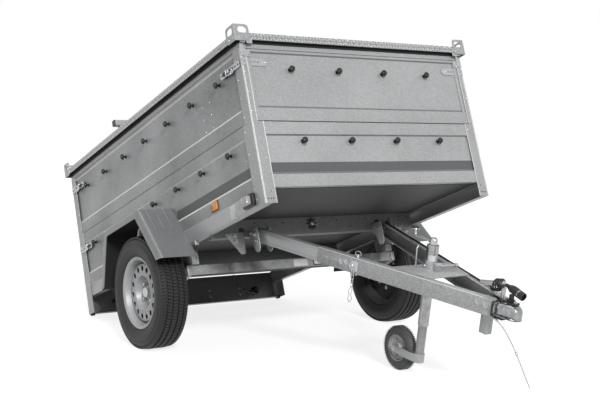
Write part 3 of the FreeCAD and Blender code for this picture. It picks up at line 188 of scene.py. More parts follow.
class Grain(Enum):
    """What a finish shows close up, with the octaves of its noise."""

    SPANGLE = 2.0
    SHEET = 6.0
    PAINT = 3.0
    RUBBER = 8.0
    BOARD = 5.0
    LENS = 1.0


@dataclass(frozen=True)
class Finish:
    """A surface: its colour, gloss and close-up grain.

    Attributes:
        name: the material's name.
        colour: the base colour, linear.
        slot: the record's material slot.
        metallic: metallic share.
        roughness: middle roughness.
        grain: the close-up detail.
        change: how much the colour varies, as a share.
        scale: how many grain cells a metre has.
        bump: the strength of the grain's relief.
        coat: clear coat weight.
        cloud: share of the broad clouds in the colour's change.
        shine: level of the mirror-like reflection.
        through: transmission weight.
    """

    name: str
    colour: Point3
    slot: str
    metallic: float = 0.0
    roughness: float = 0.5
    grain: Grain = Grain.PAINT
    change: float = 0.08
    scale: float = 60.0
    bump: float = 0.1
    coat: float = 0.0
    cloud: float = 0.45
    shine: float = 0.5
    through: float = 0.0

    def material(self) -> bpy.types.Material:
        """Makes the material once, and hands out the same one after that."""
        known = bpy.data.materials.get(self.name)
        if known:
            return known
        made = bpy.data.materials.new(self.name)
        made.use_nodes = True
        tree = made.node_tree
        shader = tree.nodes["Principled BSDF"]
        for title, value in (("Metallic", self.metallic), ("Specular IOR Level", self.shine),
                             ("Coat Weight", self.coat), ("Coat Roughness", 0.12),
                             ("Transmission Weight", self.through)):
            shader.inputs[title].default_value = value
        place = add_node(tree, "ShaderNodeTexCoord").outputs["Object"]
        stretch = (1.0, 0.12, 1.0) if self.grain is Grain.SHEET else (1.0, 1.0, 1.0)
        mapped = add_node(tree, "ShaderNodeMapping", {"Vector": place, "Rotation": (0.3, 0.2, 0.1), "Scale": stretch})
        fine = self._fine_grain(tree, mapped.outputs["Vector"])
        broad = self._noise(tree, place, 3.5, 3.0)
        tone = add_node(tree, "ShaderNodeMix", {"Factor": self.cloud, "A": fine, "B": broad}, data_type="FLOAT")
        ramp = add_node(tree, "ShaderNodeValToRGB", {"Fac": tone.outputs["Result"]})
        ends = ramp.color_ramp.elements
        ends[0].position, ends[1].position = 0.3, 0.7
        for element, gain in zip(ends, (1 - self.change, 1 + self.change)):
            element.color = (*(min(1.0, part * gain) for part in self.colour), 1)
        gloss = add_node(tree, "ShaderNodeMapRange", {
            "To Min": max(0.03, self.roughness * 0.8), "To Max": min(1.0, self.roughness * 1.22),
            "Value": tone.outputs["Result"]})
        relief = add_node(tree, "ShaderNodeBump", {"Strength": self.bump, "Distance": 0.0006, "Height": fine})
        for source, title in ((ramp.outputs["Color"], "Base Color"), (gloss.outputs["Result"], "Roughness"),
                              (relief.outputs["Normal"], "Normal")):
            tree.links.new(source, shader.inputs[title])
        return made

    def _noise(self, tree: bpy.types.NodeTree, source: bpy.types.NodeSocket, scale: float,
               detail: float) -> bpy.types.NodeSocket:
        """Adds a noise.

        Args:
            tree: the material's nodes.
            source: the coordinates.
            scale: cells a metre.
            detail: octaves.

        Returns:
            The noise's value socket.
        """
        return add_node(tree, "ShaderNodeTexNoise",
                        {"Scale": scale, "Detail": detail, "Vector": source}).outputs["Fac"]

    def _fine_grain(self, tree: bpy.types.NodeTree, source: bpy.types.NodeSocket) -> bpy.types.NodeSocket:
        """Adds the close-up grain.

        Args:
            tree: the material's nodes.
            source: the mapped coordinates.

        Returns:
            The socket with the grain's value, from 0 to 1.
        """
        if self.grain is not Grain.SPANGLE:
            return self._noise(tree, source, self.scale, self.grain.value)
        flakes = add_node(tree, "ShaderNodeTexVoronoi", {"Scale": self.scale, "Vector": source})
        split = add_node(tree, "ShaderNodeSeparateColor", {"Color": flakes.outputs["Color"]})
        dust = self._noise(tree, source, self.scale * 5, self.grain.value)
        return add_node(tree, "ShaderNodeMix", {"Factor": 0.5, "A": split.outputs["Red"], "B": dust},
                        data_type="FLOAT").outputs["Result"]


SPANGLE, SHEET, RUBBER, LENS = Grain.SPANGLE, Grain.SHEET, Grain.RUBBER, Grain.LENS
# name, colour, slot, metallic, roughness, grain, change, scale, bump
WALL_SHEET = Finish("coated_wall_sheet", (0.43, 0.435, 0.44), "wall_steel", 0.2, 0.42, SPANGLE, 0.16, 190.0, 0.03)
# painted shade: the side walls' sheet is darker than WALL_SHEET, the same sheet, for the shade on the sides; its clouds
# are the sheet's own blotches
SIDE_SHEET_PAINTED_SHADE = Finish("clouded_side_sheet_painted_shade", (0.325, 0.33, 0.335), "wall_steel", 0.25, 0.44, SPANGLE, 0.34, 150.0, 0.04,
                    cloud=0.72)
# painted shade: dark grey for the slanted fold facets of the boards
FOLD_PAINTED_SHADE = Finish("fold_painted_shade", (0.20, 0.203, 0.207), "wall_steel", 0.2, 0.45, change=0.06, scale=90.0)
# painted highlight: near-white for the side walls' fold facets and for the highlight strips on the corner plates and
# the drawbar arms
FOLD_PAINTED_HIGHLIGHT = Finish("fold_painted_highlight", (0.95, 0.95, 0.95), "wall_steel", 0.0, 0.35, SHEET, 0.08, 60.0, 0.04)
STRIPE_FOIL = Finish("dark_stripe_foil", (0.115, 0.117, 0.12), "wall_steel", change=0.06, scale=90.0)
GALVANISED = Finish("hot_dip_zinc", (0.40, 0.405, 0.41), "galvanised", 0.45, 0.38, SPANGLE, 0.12, 320.0, 0.06)
ARM_ZINC = Finish("drawbar_zinc", (0.42, 0.425, 0.43), "galvanised", 0.3, 0.42, SPANGLE, 0.34, 300.0, 0.08,
                  cloud=0.3)
LEG_ZINC = Finish("jockey_leg_zinc", (0.30, 0.303, 0.307), "zinc", 0.5, 0.35, SPANGLE, 0.15, 200.0, 0.05)
POST_ZINC = Finish("corner_post_zinc", (0.41, 0.415, 0.42), "galvanised", 0.3, 0.42, SPANGLE, 0.2, 260.0, 0.05)
AXLE_ZINC = Finish("weathered_axle_zinc", (0.37, 0.373, 0.377), "galvanised", 0.0, 0.75, SPANGLE, 0.25, 60.0, 0.06,
                   cloud=0.6, shine=0.02)
LID_ALLOY = Finish("lid_alloy_sheet", (0.34, 0.345, 0.35), "lid_alloy", 0.6, 0.4, SHEET, 0.12, 40.0, 0.05)
# painted highlight: the tread bars are painted lighter than the lid sheet they are pressed in
TREAD_PAINTED_HIGHLIGHT = Finish("tread_bars_painted_highlight", (0.66, 0.67, 0.68), "lid_alloy", 0.5, 0.3, SHEET, 0.15, 90.0, 0.05)
SEAL_RUBBER = Finish("seal_rubber_black", (0.006, 0.006, 0.007), "seal_rubber", 0.0, 0.7, RUBBER, 0.25, 300.0, 0.2)
# black plastic; also painted shade for the black dots that stand for holes and for the plate behind the amber
# reflectors
BLACK_PLASTIC_AND_PAINTED_SHADE = Finish("black_plastic_and_painted_shade", (0.009, 0.009, 0.010), "black_plastic", 0.0, 0.36, RUBBER, 0.25,
                       700.0, 0.12)
FENDER_GREY = Finish("fender_grey_sheet", (0.215, 0.22, 0.225), "fender_grey", 0.2, 0.34, change=0.1, scale=35.0,
                     bump=0.04, coat=0.15)
# painted shade: near-black for the fenders' inner faces
FENDER_PAINTED_SHADE = Finish("fender_inside_painted_shade", (0.008, 0.008, 0.009), "fender_grey", 0.0, 0.8, RUBBER, 0.3, 260.0, 0.35)
TYRE_RUBBER = Finish("tyre_rubber_black", (0.016, 0.016, 0.017), "tyre_rubber", 0.0, 0.6, RUBBER, 0.3, 420.0, 0.3)
RIM_SILVER = Finish("rim_silver_lacquer", (0.42, 0.425, 0.43), "rim_silver", 0.25, 0.46, change=0.06, scale=120.0,
                    bump=0.06)
# painted shade: near-black for the rim's inboard side and the ring behind its disc
RIM_PAINTED_SHADE = Finish("rim_back_painted_shade", (0.032, 0.032, 0.034), "rim_silver", 0.0, 0.75, change=0.3, scale=90.0,
                  bump=0.15)
FLOOR_BOARD = Finish("coated_floor_board", (0.050, 0.050, 0.052), "floor_board", 0.0, 0.6, Grain.BOARD, 0.18, 45.0,
                     0.12)
AMBER = Finish("amber_reflector", (0.85, 0.27, 0.012), "amber_lens", 0.0, 0.22, LENS, 0.3, 260.0, 0.35, coat=0.6)
CLEAR = Finish("clear_lamp_lens", (0.62, 0.63, 0.64), "clear_lens", 0.0, 0.14, LENS, 0.25, 240.0, 0.3, coat=0.6,
               through=0.35)
RED_LENS = Finish("red_lamp_lens", (0.42, 0.012, 0.01), "amber_lens", 0.0, 0.2, LENS, 0.15, 240.0, 0.3, coat=0.6)
ZINC = Finish("bright_zinc_plate", (0.50, 0.51, 0.52), "zinc", 0.75, 0.24, change=0.14, scale=180.0, bump=0.06)
CAST_ZINC = Finish("patchy_zinc_plate", (0.36, 0.365, 0.37), "zinc", 0.8, 0.24, change=0.3, scale=45.0, bump=0.04,
                   cloud=0.3)
# painted shade: darker zinc for the parts under the bed
UNDERSIDE_PAINTED_SHADE = Finish("underside_zinc_painted_shade", (0.20, 0.203, 0.207), "galvanised", 0.4, 0.46, SPANGLE, 0.2, 150.0,
                     0.08)
GREY_TYRE = Finish("jockey_tyre_rubber", (0.085, 0.085, 0.088), "grey_tyre", 0.0, 0.62, RUBBER, 0.25, 380.0, 0.25)
JOCKEY_TREAD = Finish("jockey_tread_rubber", (0.20, 0.20, 0.205), "grey_tyre", 0.0, 0.7, RUBBER, 0.2, 380.0, 0.2)
WIRE_SHEATH = Finish("clear_wire_sheath", (0.62, 0.63, 0.62), "clear_cable", 0.0, 0.3, change=0.15, scale=900.0,
                     bump=0.12, coat=0.4)
CABLE_BLACK = Finish("cable_sheath_black", (0.008, 0.008, 0.009), "black_plastic", 0.0, 0.4, RUBBER, 0.2, 900.0, 0.1)
BLANK_LABEL = Finish("blank_white_label", (0.74, 0.75, 0.75), "clear_cable", 0.0, 0.36, change=0.04, scale=50.0,
                     bump=0.03)


# Shapes

def mm(*points: Sequence[float]) -> list[tuple]:
    """Points that are given in millimetres, in metres."""
    return [tuple(value * MM for value in point) for point in points]


def round_spots(count: int, radius: float, start: float = 0.0) -> list[Point3]:
    """Points in even steps round the X axis, from a start in degrees."""
    turns = (math.radians(start) + 2 * math.pi * k / count for k in range(count))
    return [(0, radius * math.cos(turn), radius * math.sin(turn)) for turn in turns]


def fillet(outline: Sequence[Point2], radius: float, steps: int = 4) -> list[Point2]:
    """Rounds every corner of a closed outline.

    Args:
        outline: the corners in order.
        radius: the rounding, cut back where an edge is short.
        steps: chords in each rounding.

    Returns:
        The rounded outline.
    """
    count = len(outline)
    rounded = []
    for k in range(count):
        before, corner, after = (Vector(outline[(k + j) % count]) for j in (-1, 0, 1))
        back, ahead = before - corner, after - corner
        half = back.angle(ahead) / 2
        if half > math.radians(88):
            rounded.append(tuple(corner))
            continue
        reach = min(radius / math.tan(half), 0.45 * back.length, 0.45 * ahead.length)
        bend = reach * math.tan(half)
        back, ahead = back.normalized(), ahead.normalized()
        centre = corner + (back + ahead).normalized() * (bend / math.sin(half))
        first, last = corner + back * reach - centre, corner + ahead * reach - centre
        sweep = first.angle_signed(last)
        for j in range(steps + 1):
            turn = -sweep * j / steps
            rounded.append((centre.x + first.x * math.cos(turn) - first.y * math.sin(turn),
                            centre.y + first.x * math.sin(turn) + first.y * math.cos(turn)))
    return rounded


def rect(low: Point2, high: Point2, radius: float = 0.0, steps: int = 4) -> list[Point2]:
    """A rectangle between two corners, its corners rounded where a radius is given."""
    outline = [low, (high[0], low[1]), high, (low[0], high[1])]
    return fillet(outline, radius, steps) if radius else outline


def circle(radius: float, centre: Point2 = (0.0, 0.0), steps: int = 24) -> list[Point2]:
    """A closed circle as points."""
    return [(centre[0] + radius * math.cos(2 * math.pi * k / steps),
             centre[1] + radius * math.sin(2 * math.pi * k / steps)) for k in range(steps)]


def slot(length: float, height: float, centre: Point2, steps: int = 10) -> list[Point2]:
    """A slot with round ends, lying along the first direction.

    Args:
        length: its length.
        height: its height.
        centre: its middle.
        steps: steps in each round end.

    Returns:
        The outline.
    """
    radius = height / 2
    reach = length / 2 - radius
    points = []
    for side in (1, -1):
        for k in range(steps + 1):
            turn = side * math.pi / 2 - math.pi * k / steps
            points.append((centre[0] + side * reach + radius * math.cos(turn), centre[1] + radius * math.sin(turn)))
    return points


def bent_route(points: Sequence[Point3], bend: float, steps: int = 6) -> list[Vector]:
    """A bar's middle line with its corners bent round.

    Args:
        points: the corners of the route.
        bend: the bend's radius.
        steps: chords in each bend.

    Returns:
        The points of the bent line.
    """
    corners = [Vector(point) for point in points]
    line = [corners[0]]
    for before, corner, after in zip(corners, corners[1:], corners[2:]):
        back, ahead = (before - corner).normalized(), (after - corner).normalized()
        half = back.angle(ahead) / 2
        if half > math.radians(89):
            continue
        reach = min(bend / math.tan(half), 0.48 * (before - corner).length, 0.48 * (after - corner).length)
        start, end = corner + back * reach, corner + ahead * reach
        for k in range(steps + 1):
            share = k / steps
            line.append(start * (1 - share) ** 2 + corner * 2 * share * (1 - share) + end * share ** 2)
    line.append(corners[-1])
    return line


def basis(origin: Point3, across: Point3, up: Point3) -> Matrix:
    """A flat plate's place: its first direction, its second, and its face.

    Args:
        origin: the plate's origin.
        across: its first direction.
        up: its second direction.

    Returns:
        The placement.
    """
    first, second = Vector(across).normalized(), Vector(up).normalized()
    turn = Matrix((first, second, first.cross(second))).transposed().to_4x4()
    return Matrix.Translation(origin) @ turn


def aimed(origin: Point3, direction: Point3) -> Matrix:
    """A turned piece's place: its first axis along a direction."""
    return Matrix.Translation(origin) @ Vector(direction).to_track_quat("X", "Z").to_matrix().to_4x4()


def placed(name: str, data: bpy.types.ID) -> bpy.types.Object:
    """Puts data into the scene as a new object.

    Args:
        name: the object's name.
        data: a mesh, curve, lamp or camera.

    Returns:
        The object.
    """
    item = bpy.data.objects.new(name, data)
    bpy.context.scene.collection.objects.link(item)
    return item


def finished_mesh(item: bpy.types.Object) -> bpy.types.Mesh:
    """Gives an object's mesh with its modifiers worked in, and removes the object.

    Args:
        item: the object.

    Returns:
        The plain mesh.
    """
    bpy.context.view_layer.update()
    mesh = bpy.data.meshes.new_from_object(item.evaluated_get(bpy.context.evaluated_depsgraph_get()))
    bpy.data.objects.remove(item)
    return mesh


def skin(part: bmesh.types.BMesh, rings: Sequence[Sequence[bmesh.types.BMVert]],
         loop: bool = False) -> list[bmesh.types.BMFace]:
    """Joins each ring of points to the next one with faces.

    Args:
        part: the shape.
        rings: closed rings with as many points each. A ring may be one point throughout.
        loop: whether the last ring joins the first.

    Returns:
        The new faces.
    """
    faces = []
    pairs = list(zip(rings, rings[1:])) + ([(rings[-1], rings[0])] if loop else [])
    for first, second in pairs:
        for j in range(len(first)):
            after = (j + 1) % len(first)
            corners = list(dict.fromkeys((first[j], first[after], second[after], second[j])))
            if len(corners) > 2:
                faces.append(part.faces.new(corners))
    return faces


def round_edges(part: bmesh.types.BMesh, width: float, shortest: float = 0.0) -> None:
    """Rounds a shape's sharp edges that are longer than the shortest.

    Args:
        part: the shape.
        width: the width of the rounding.
        shortest: shorter edges stay as they are.
    """
    sharp = [edge for edge in part.edges if edge.is_manifold and edge.calc_face_angle(0) > math.radians(40)
             and edge.calc_length() > shortest]
    bmesh.ops.bevel(part, geom=sharp, offset=width, segments=2, profile=0.5, affect="EDGES", clamp_overlap=True)


class Form:
    """Collects closed shapes in one local frame and turns them into one piece.

    The methods that add a shape give the form itself. They share these arguments: matrix is the shape's
    placement, and index says which of the piece's finishes it takes.
    """

    def __init__(self, place: Matrix = Matrix()) -> None:
        """Starts empty, in a local frame."""
        self.place = place
        self.mesh = bmesh.new()

    def take(self, part: bmesh.types.BMesh, matrix: Optional[Matrix] = None, index: int = 0) -> None:
        """Moves a finished shape into the collection.

        Args:
            part: the shape, which is freed.
            matrix: its placement.
            index: which of the piece's finishes it takes, or -1 where its faces say so.
        """
        bmesh.ops.recalc_face_normals(part, faces=part.faces)
        if matrix is not None:
            part.transform(matrix)
            if matrix.determinant() < 0:
                bmesh.ops.reverse_faces(part, faces=part.faces)
        for face in part.faces:
            face.material_index = face.material_index if index < 0 else index
        carrier = bpy.data.meshes.new("part")
        part.to_mesh(carrier)
        part.free()
        self.mesh.from_mesh(carrier)
        bpy.data.meshes.remove(carrier)

    def add_mesh(self, mesh: bpy.types.Mesh, matrix: Optional[Matrix] = None, index: int = 0,
                 merge: float = 1e-6) -> "Form":
        """Adds a mesh made elsewhere, its seams closed.

        Args:
            mesh: the mesh.
            matrix: its placement.
            index: its finish.
            merge: the distance below which its points become one.

        Returns:
            The form.
        """
        part = bmesh.new()
        part.from_mesh(mesh)
        bmesh.ops.remove_doubles(part, verts=part.verts, dist=merge)
        self.take(part, matrix, index)
        return self

    def prism(self, outline: Sequence[Point2], low: float, high: float, axis: str = "Z", soft: float = 0.0,
              matrix: Optional[Matrix] = None, index: int = 0) -> "Form":
        """Adds an outline drawn out along an axis.

        Args:
            outline: corners across the axis: (y, z) for X, (x, z) for Y and (x, y) for Z.
            low: where it starts on the axis.
            high: where it ends.
            axis: X, Y or Z.
            soft: width of the rounding on its sharp edges.
            matrix: see the class.
            index: see the class.

        Returns:
            The form itself.
        """
        spot = "XYZ".index(axis)
        part = bmesh.new()
        rings = [[part.verts.new((*corner[:spot], level, *corner[spot:])) for corner in outline]
                 for level in sorted((low, high))]
        part.faces.new(rings[0][::-1])
        part.faces.new(rings[1])
        skin(part, rings)
        bmesh.ops.recalc_face_normals(part, faces=part.faces)
        if soft:
            round_edges(part, soft)
        self.take(part, matrix, index)
        return self

    def block(self, first: Point3, second: Point3, soft: float = 0.0008, matrix: Optional[Matrix] = None,
              index: int = 0) -> "Form":
        """Adds a block with softened edges between two opposite corners."""
        low, high = zip(*(sorted(pair) for pair in zip(first, second)))
        return self.prism(rect(low[:2], high[:2]), low[2], high[2], "Z", soft, matrix, index)

    def turned(self, profile: Sequence[Point2], steps: int = 48, matrix: Optional[Matrix] = None,
               index: int = 0, ring: bool = False) -> "Form":
        """Adds a shape turned about its first axis.

        Args:
            profile: (along, radius) points. The ends meet the axis, or the profile is a ring.
            steps: how many flats go round.
            matrix: see the class.
            index: see the class.
            ring: whether the last point joins the first.

        Returns:
            The form itself.
        """
        part = bmesh.new()
        columns = []
        for along, radius in profile:
            if radius < 1e-7:
                columns.append([part.verts.new((along, 0, 0))] * steps)
            else:
                columns.append([part.verts.new((along, y, z)) for x, y, z in round_spots(steps, radius)])
        skin(part, columns, ring)
        self.take(part, matrix, index)
        return self

    def pipe(self, points: Sequence[Point3], radius: float, bend: float = 0.0, sides: int = 12,
             matrix: Optional[Matrix] = None, index: int = 0, loop: bool = False) -> "Form":
        """Adds a round bar along a route.

        Args:
            points: the route's corners.
            radius: the bar's radius.
            bend: the bends' radius, or 0 for a straight bar.
            sides: flats round the bar.
            matrix: see the class.
            index: see the class.
            loop: whether the bar closes on itself.

        Returns:
            The form itself.
        """
        line = bent_route(points, bend) if bend else [Vector(point) for point in points]
        part = bmesh.new()
        ahead = (line[1] - line[0]).normalized()
        turn = ahead.to_track_quat("Z", "Y")
        rings = []
        for k, middle in enumerate(line):
            before = line[k - 1] if loop else line[max(k - 1, 0)]
            after = line[(k + 1) % len(line)] if loop else line[min(k + 1, len(line) - 1)]
            now = (after - before).normalized()
            turn = ahead.rotation_difference(now) @ turn
            ahead = now
            rings.append([part.verts.new(middle + turn @ Vector((*spot, 0))) for spot in circle(radius, steps=sides)])
        if not loop:
            part.faces.new(rings[0][::-1])
            part.faces.new(rings[-1])
        skin(part, rings, loop)
        self.take(part, matrix, index)
        return self

    def plate(self, loops: Sequence[Sequence[Point2]], thick: float, matrix: Optional[Matrix] = None,
              soft: float = 0.0004, index: int = 0) -> "Form":
        """Adds a flat plate with holes and rounded edges, its middle plane at the placement's origin.

        Args:
            loops: the outer outline, then the holes.
            thick: the plate's thickness.
            matrix: see the class.
            soft: rounding of its edges.
            index: see the class.

        Returns:
            The form itself.
        """
        curve = bpy.data.curves.new("plate", "CURVE")
        curve.dimensions = "2D"
        curve.fill_mode = "BOTH"
        curve.extrude = thick / 2 - soft
        curve.bevel_depth = soft
        curve.bevel_resolution = 1
        curve.offset = -soft
        for loop in loops:
            spline = curve.splines.new("POLY")
            spline.points.add(len(loop) - 1)
            for point, (across, up) in zip(spline.points, loop):
                point.co = (across, up, 0, 1)
            spline.use_cyclic_u = True
        mesh = finished_mesh(placed("plate", curve))
        self.add_mesh(mesh, matrix, index, merge=2e-5)
        bpy.data.meshes.remove(mesh)
        bpy.data.curves.remove(curve)
        return self

    def piece(self, name: str, body: str, finishes: Sequence[Finish], replaces: Sequence[str] = (),
              smooth: float = 35.0) -> bpy.types.Object:
        """Turns the collection into a named piece that rides on a body.

        Args:
            name: the piece's name.
            body: the body that it rides on.
            finishes: its finishes, in the order of their numbers.
            replaces: the solids that it stands for.
            smooth: edges flatter than this, in degrees, are shaded smooth.

        Returns:
            The piece.
        """
        data = bpy.data.meshes.new(name)
        self.mesh.transform(self.place)
        self.mesh.to_mesh(data)
        self.mesh.free()
        for one in finishes:
            data.materials.append(one.material())
        data.polygons.foreach_set("use_smooth", [True] * len(data.polygons))
        data.set_sharp_from_angle(angle=math.radians(smooth))
        item = placed(name, data)
        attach(item, body)
        if replaces:
            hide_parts(*replaces)
        log.info("%s: %d faces on %s", name, len(data.polygons), body)
        return item


def carved(whole: Form, cutter: Form) -> bpy.types.Mesh:
    """Cuts one form out of another and gives the mesh that is left.

    Args:
        whole: the form that is cut.
        cutter: what is taken away.

    Returns:
        The cut mesh.
    """
    items = []
    for one in (whole, cutter):
        data = bpy.data.meshes.new("carve")
        one.mesh.to_mesh(data)
        items.append(placed("carve", data))
    modifier = items[0].modifiers.new("cut", "BOOLEAN")
    modifier.operation = "DIFFERENCE"
    modifier.solver = "EXACT"
    modifier.object = items[1]
    mesh = finished_mesh(items[0])
    bpy.data.objects.remove(items[1])
    return mesh


# Geometry Nodes

@dataclass(frozen=True)
class Site:
    """A place for a repeated thing: where it sits and how it is turned."""

    place: Point3
    facing: Point3
    up: Point3 = UP

    def turn(self) -> Euler:
        """The turn that points the thing's Z axis outward and its Y axis up."""
        face = Vector(self.facing).normalized()
        up = Vector(self.up)
        if abs(face.dot(up.normalized())) > 0.98:
            up = Vector((0, 1, 0))
        across = up.cross(face).normalized()
        return Matrix((across, face.cross(across), face)).transposed().to_euler()


class Tree:
    """A node tree that is built step by step, with named inputs and a Finish."""

    def __init__(self, name: str, inputs: Iterable[tuple[str, str]]) -> None:
        """Makes the tree and its sockets from the names and socket types of its inputs.

        Args:
            name: the tree's name.
            inputs: the name and the socket type of each input.
        """
        self.tree = bpy.data.node_groups.new(name, "GeometryNodeTree")
        face = self.tree.interface
        face.new_socket("Geometry", in_out="INPUT", socket_type="NodeSocketGeometry")
        self.sockets = {title: face.new_socket(title, in_out="INPUT", socket_type="NodeSocket" + kind).identifier
                        for title, kind in (*inputs, ("Finish", "Material"))}
        face.new_socket("Geometry", in_out="OUTPUT", socket_type="NodeSocketGeometry")
        self.start = self.tree.nodes.new("NodeGroupInput").outputs
        self.end = self.tree.nodes.new("NodeGroupOutput")

    def node(self, kind: str, inputs: Optional[dict] = None, output: str = "",
             **settings: object) -> bpy.types.NodeSocket:
        """Adds a node and gives one of its outputs, the first where none is named."""
        made = add_node(self.tree, kind, inputs, **settings)
        return made.outputs[output or 0]

    def sum(self, operation: str, *values: object) -> bpy.types.NodeSocket:
        """Adds a step of arithmetic on numbers or sockets."""
        return self.node("ShaderNodeMath", dict(enumerate(values)), operation=operation)

    def close(self, points: bpy.types.NodeSocket, template: bpy.types.NodeSocket,
              euler: bpy.types.NodeSocket) -> None:
        """Sets the template on every point, realizes the copies and gives them the finish.

        Args:
            points: where the copies go.
            template: what is copied.
            euler: the copies' turn.
        """
        turn = self.node("FunctionNodeEulerToRotation", {"Euler": euler})
        spread = self.node("GeometryNodeInstanceOnPoints", {"Points": points, "Instance": template, "Rotation": turn})
        real = self.node("GeometryNodeRealizeInstances", {"Geometry": spread})
        smooth = self.node("GeometryNodeSetShadeSmooth", {"Geometry": real})
        last = self.node("GeometryNodeSetMaterial", {"Geometry": smooth, "Material": self.start["Finish"]})
        self.tree.links.new(last, self.end.inputs["Geometry"])

    def close_on_sites(self, template: bpy.types.NodeSocket) -> None:
        """Sets the template on every site, with the site's own turn.

        Args:
            template: what is copied.
        """
        turn = self.node("GeometryNodeInputNamedAttribute", {"Name": "turn"}, "Attribute", data_type="FLOAT_VECTOR")
        self.close(self.start["Geometry"], template, turn)

    def run(self, points: bpy.types.Mesh, values: dict) -> bpy.types.Mesh:
        """Runs the tree on the points of a mesh with values by input name, and gives a plain mesh.

        Args:
            points: the points.
            values: the inputs' values by name.

        Returns:
            The plain mesh.
        """
        item = placed("sites", points)
        modifier = item.modifiers.new("nodes", "NODES")
        modifier.node_group = self.tree
        for title, value in values.items():
            modifier[self.sockets[title]] = value
        return finished_mesh(item)


def site_points(sites: Sequence[Site], place: Matrix) -> bpy.types.Mesh:
    """A mesh of points that carries each site's turn.

    Args:
        sites: the sites in their local frame.
        place: the local frame in the shared frame.

    Returns:
        The mesh.
    """
    points = bpy.data.meshes.new("sites")
    points.from_pydata([place @ Vector(site.place) for site in sites], [], [])
    turns = points.attributes.new("turn", "FLOAT_VECTOR", "POINT")
    for k, site in enumerate(sites):
        turns.data[k].vector = Vector((place.to_3x3() @ site.turn().to_matrix()).to_euler())
    return points


HEAD_INPUTS = (("Head Radius", "Float"), ("Head Height", "Float"))


def rivet_tree() -> Tree:
    """A domed head on every site, from its radius and height."""
    tree = Tree("rivet_heads", HEAD_INPUTS)
    radius, height = tree.start["Head Radius"], tree.start["Head Height"]
    ball = tree.node("GeometryNodeMeshUVSphere", {"Segments": 14, "Rings": 8, "Radius": radius})
    scale = tree.node("ShaderNodeCombineXYZ", {"X": 1.0, "Y": 1.0, "Z": tree.sum("DIVIDE", height, radius)})
    tree.close_on_sites(tree.node("GeometryNodeTransform", {"Geometry": ball, "Scale": scale}))
    return tree


def bolt_tree() -> Tree:
    """A hexagon head on a washer on every site."""
    tree = Tree("hexagon_bolts", HEAD_INPUTS)
    parts = [tree.node("GeometryNodeMeshCylinder", {
        "Vertices": sides, "Radius": tree.sum("MULTIPLY", tree.start["Head Radius"], wide),
        "Depth": tree.sum("MULTIPLY", tree.start["Head Height"], deep)})
        for sides, wide, deep in ((6, 1.0, 2.0), (24, 1.45, 0.5), (12, 0.55, 2.9))]
    join = add_node(tree.tree, "GeometryNodeJoinGeometry")
    for part in parts:
        tree.tree.links.new(part, join.inputs["Geometry"])
    tree.close_on_sites(join.outputs["Geometry"])
    return tree


def copy_tree() -> Tree:
    """A copy of a template object on every site."""
    tree = Tree("copies_on_sites", (("Template", "Object"),))
    tree.close_on_sites(tree.node("GeometryNodeObjectInfo", {"Object": tree.start["Template"]}, "Geometry",
                                  transform_space="ORIGINAL"))
    return tree


def tread_plate_tree() -> Tree:
    """Raised bars on a grid, crossed like those of a tread plate."""
    tree = Tree("tread_plate_bars", (
        ("Count Along", "Int"), ("Count Across", "Int"), ("Length", "Float"), ("Width", "Float"),
        ("Bar Length", "Float"), ("Bar Width", "Float"), ("Bar Height", "Float")))
    start = tree.start
    count = start["Count Along"]
    grid = tree.node("GeometryNodeMeshGrid", {"Size X": start["Width"], "Size Y": start["Length"],
                                              "Vertices X": start["Count Across"], "Vertices Y": count})
    index = tree.node("GeometryNodeInputIndex")
    row = tree.sum("FLOOR", tree.sum("DIVIDE", index, count))
    place = tree.sum("SUBTRACT", tree.sum("ADD", row, index), tree.sum("MULTIPLY", row, count))
    angle = tree.sum("MULTIPLY_ADD", tree.sum("MODULO", place, 2.0), math.pi / 2, math.pi / 4)
    ball = tree.node("GeometryNodeMeshUVSphere", {"Segments": 8, "Rings": 4, "Radius": 1.0})
    scale = tree.node("ShaderNodeCombineXYZ", {"X": start["Bar Length"], "Y": start["Bar Width"],
                                               "Z": start["Bar Height"]})
    tree.close(grid, tree.node("GeometryNodeTransform", {"Geometry": ball, "Scale": scale}),
               tree.node("ShaderNodeCombineXYZ", {"Z": angle}))
    return tree


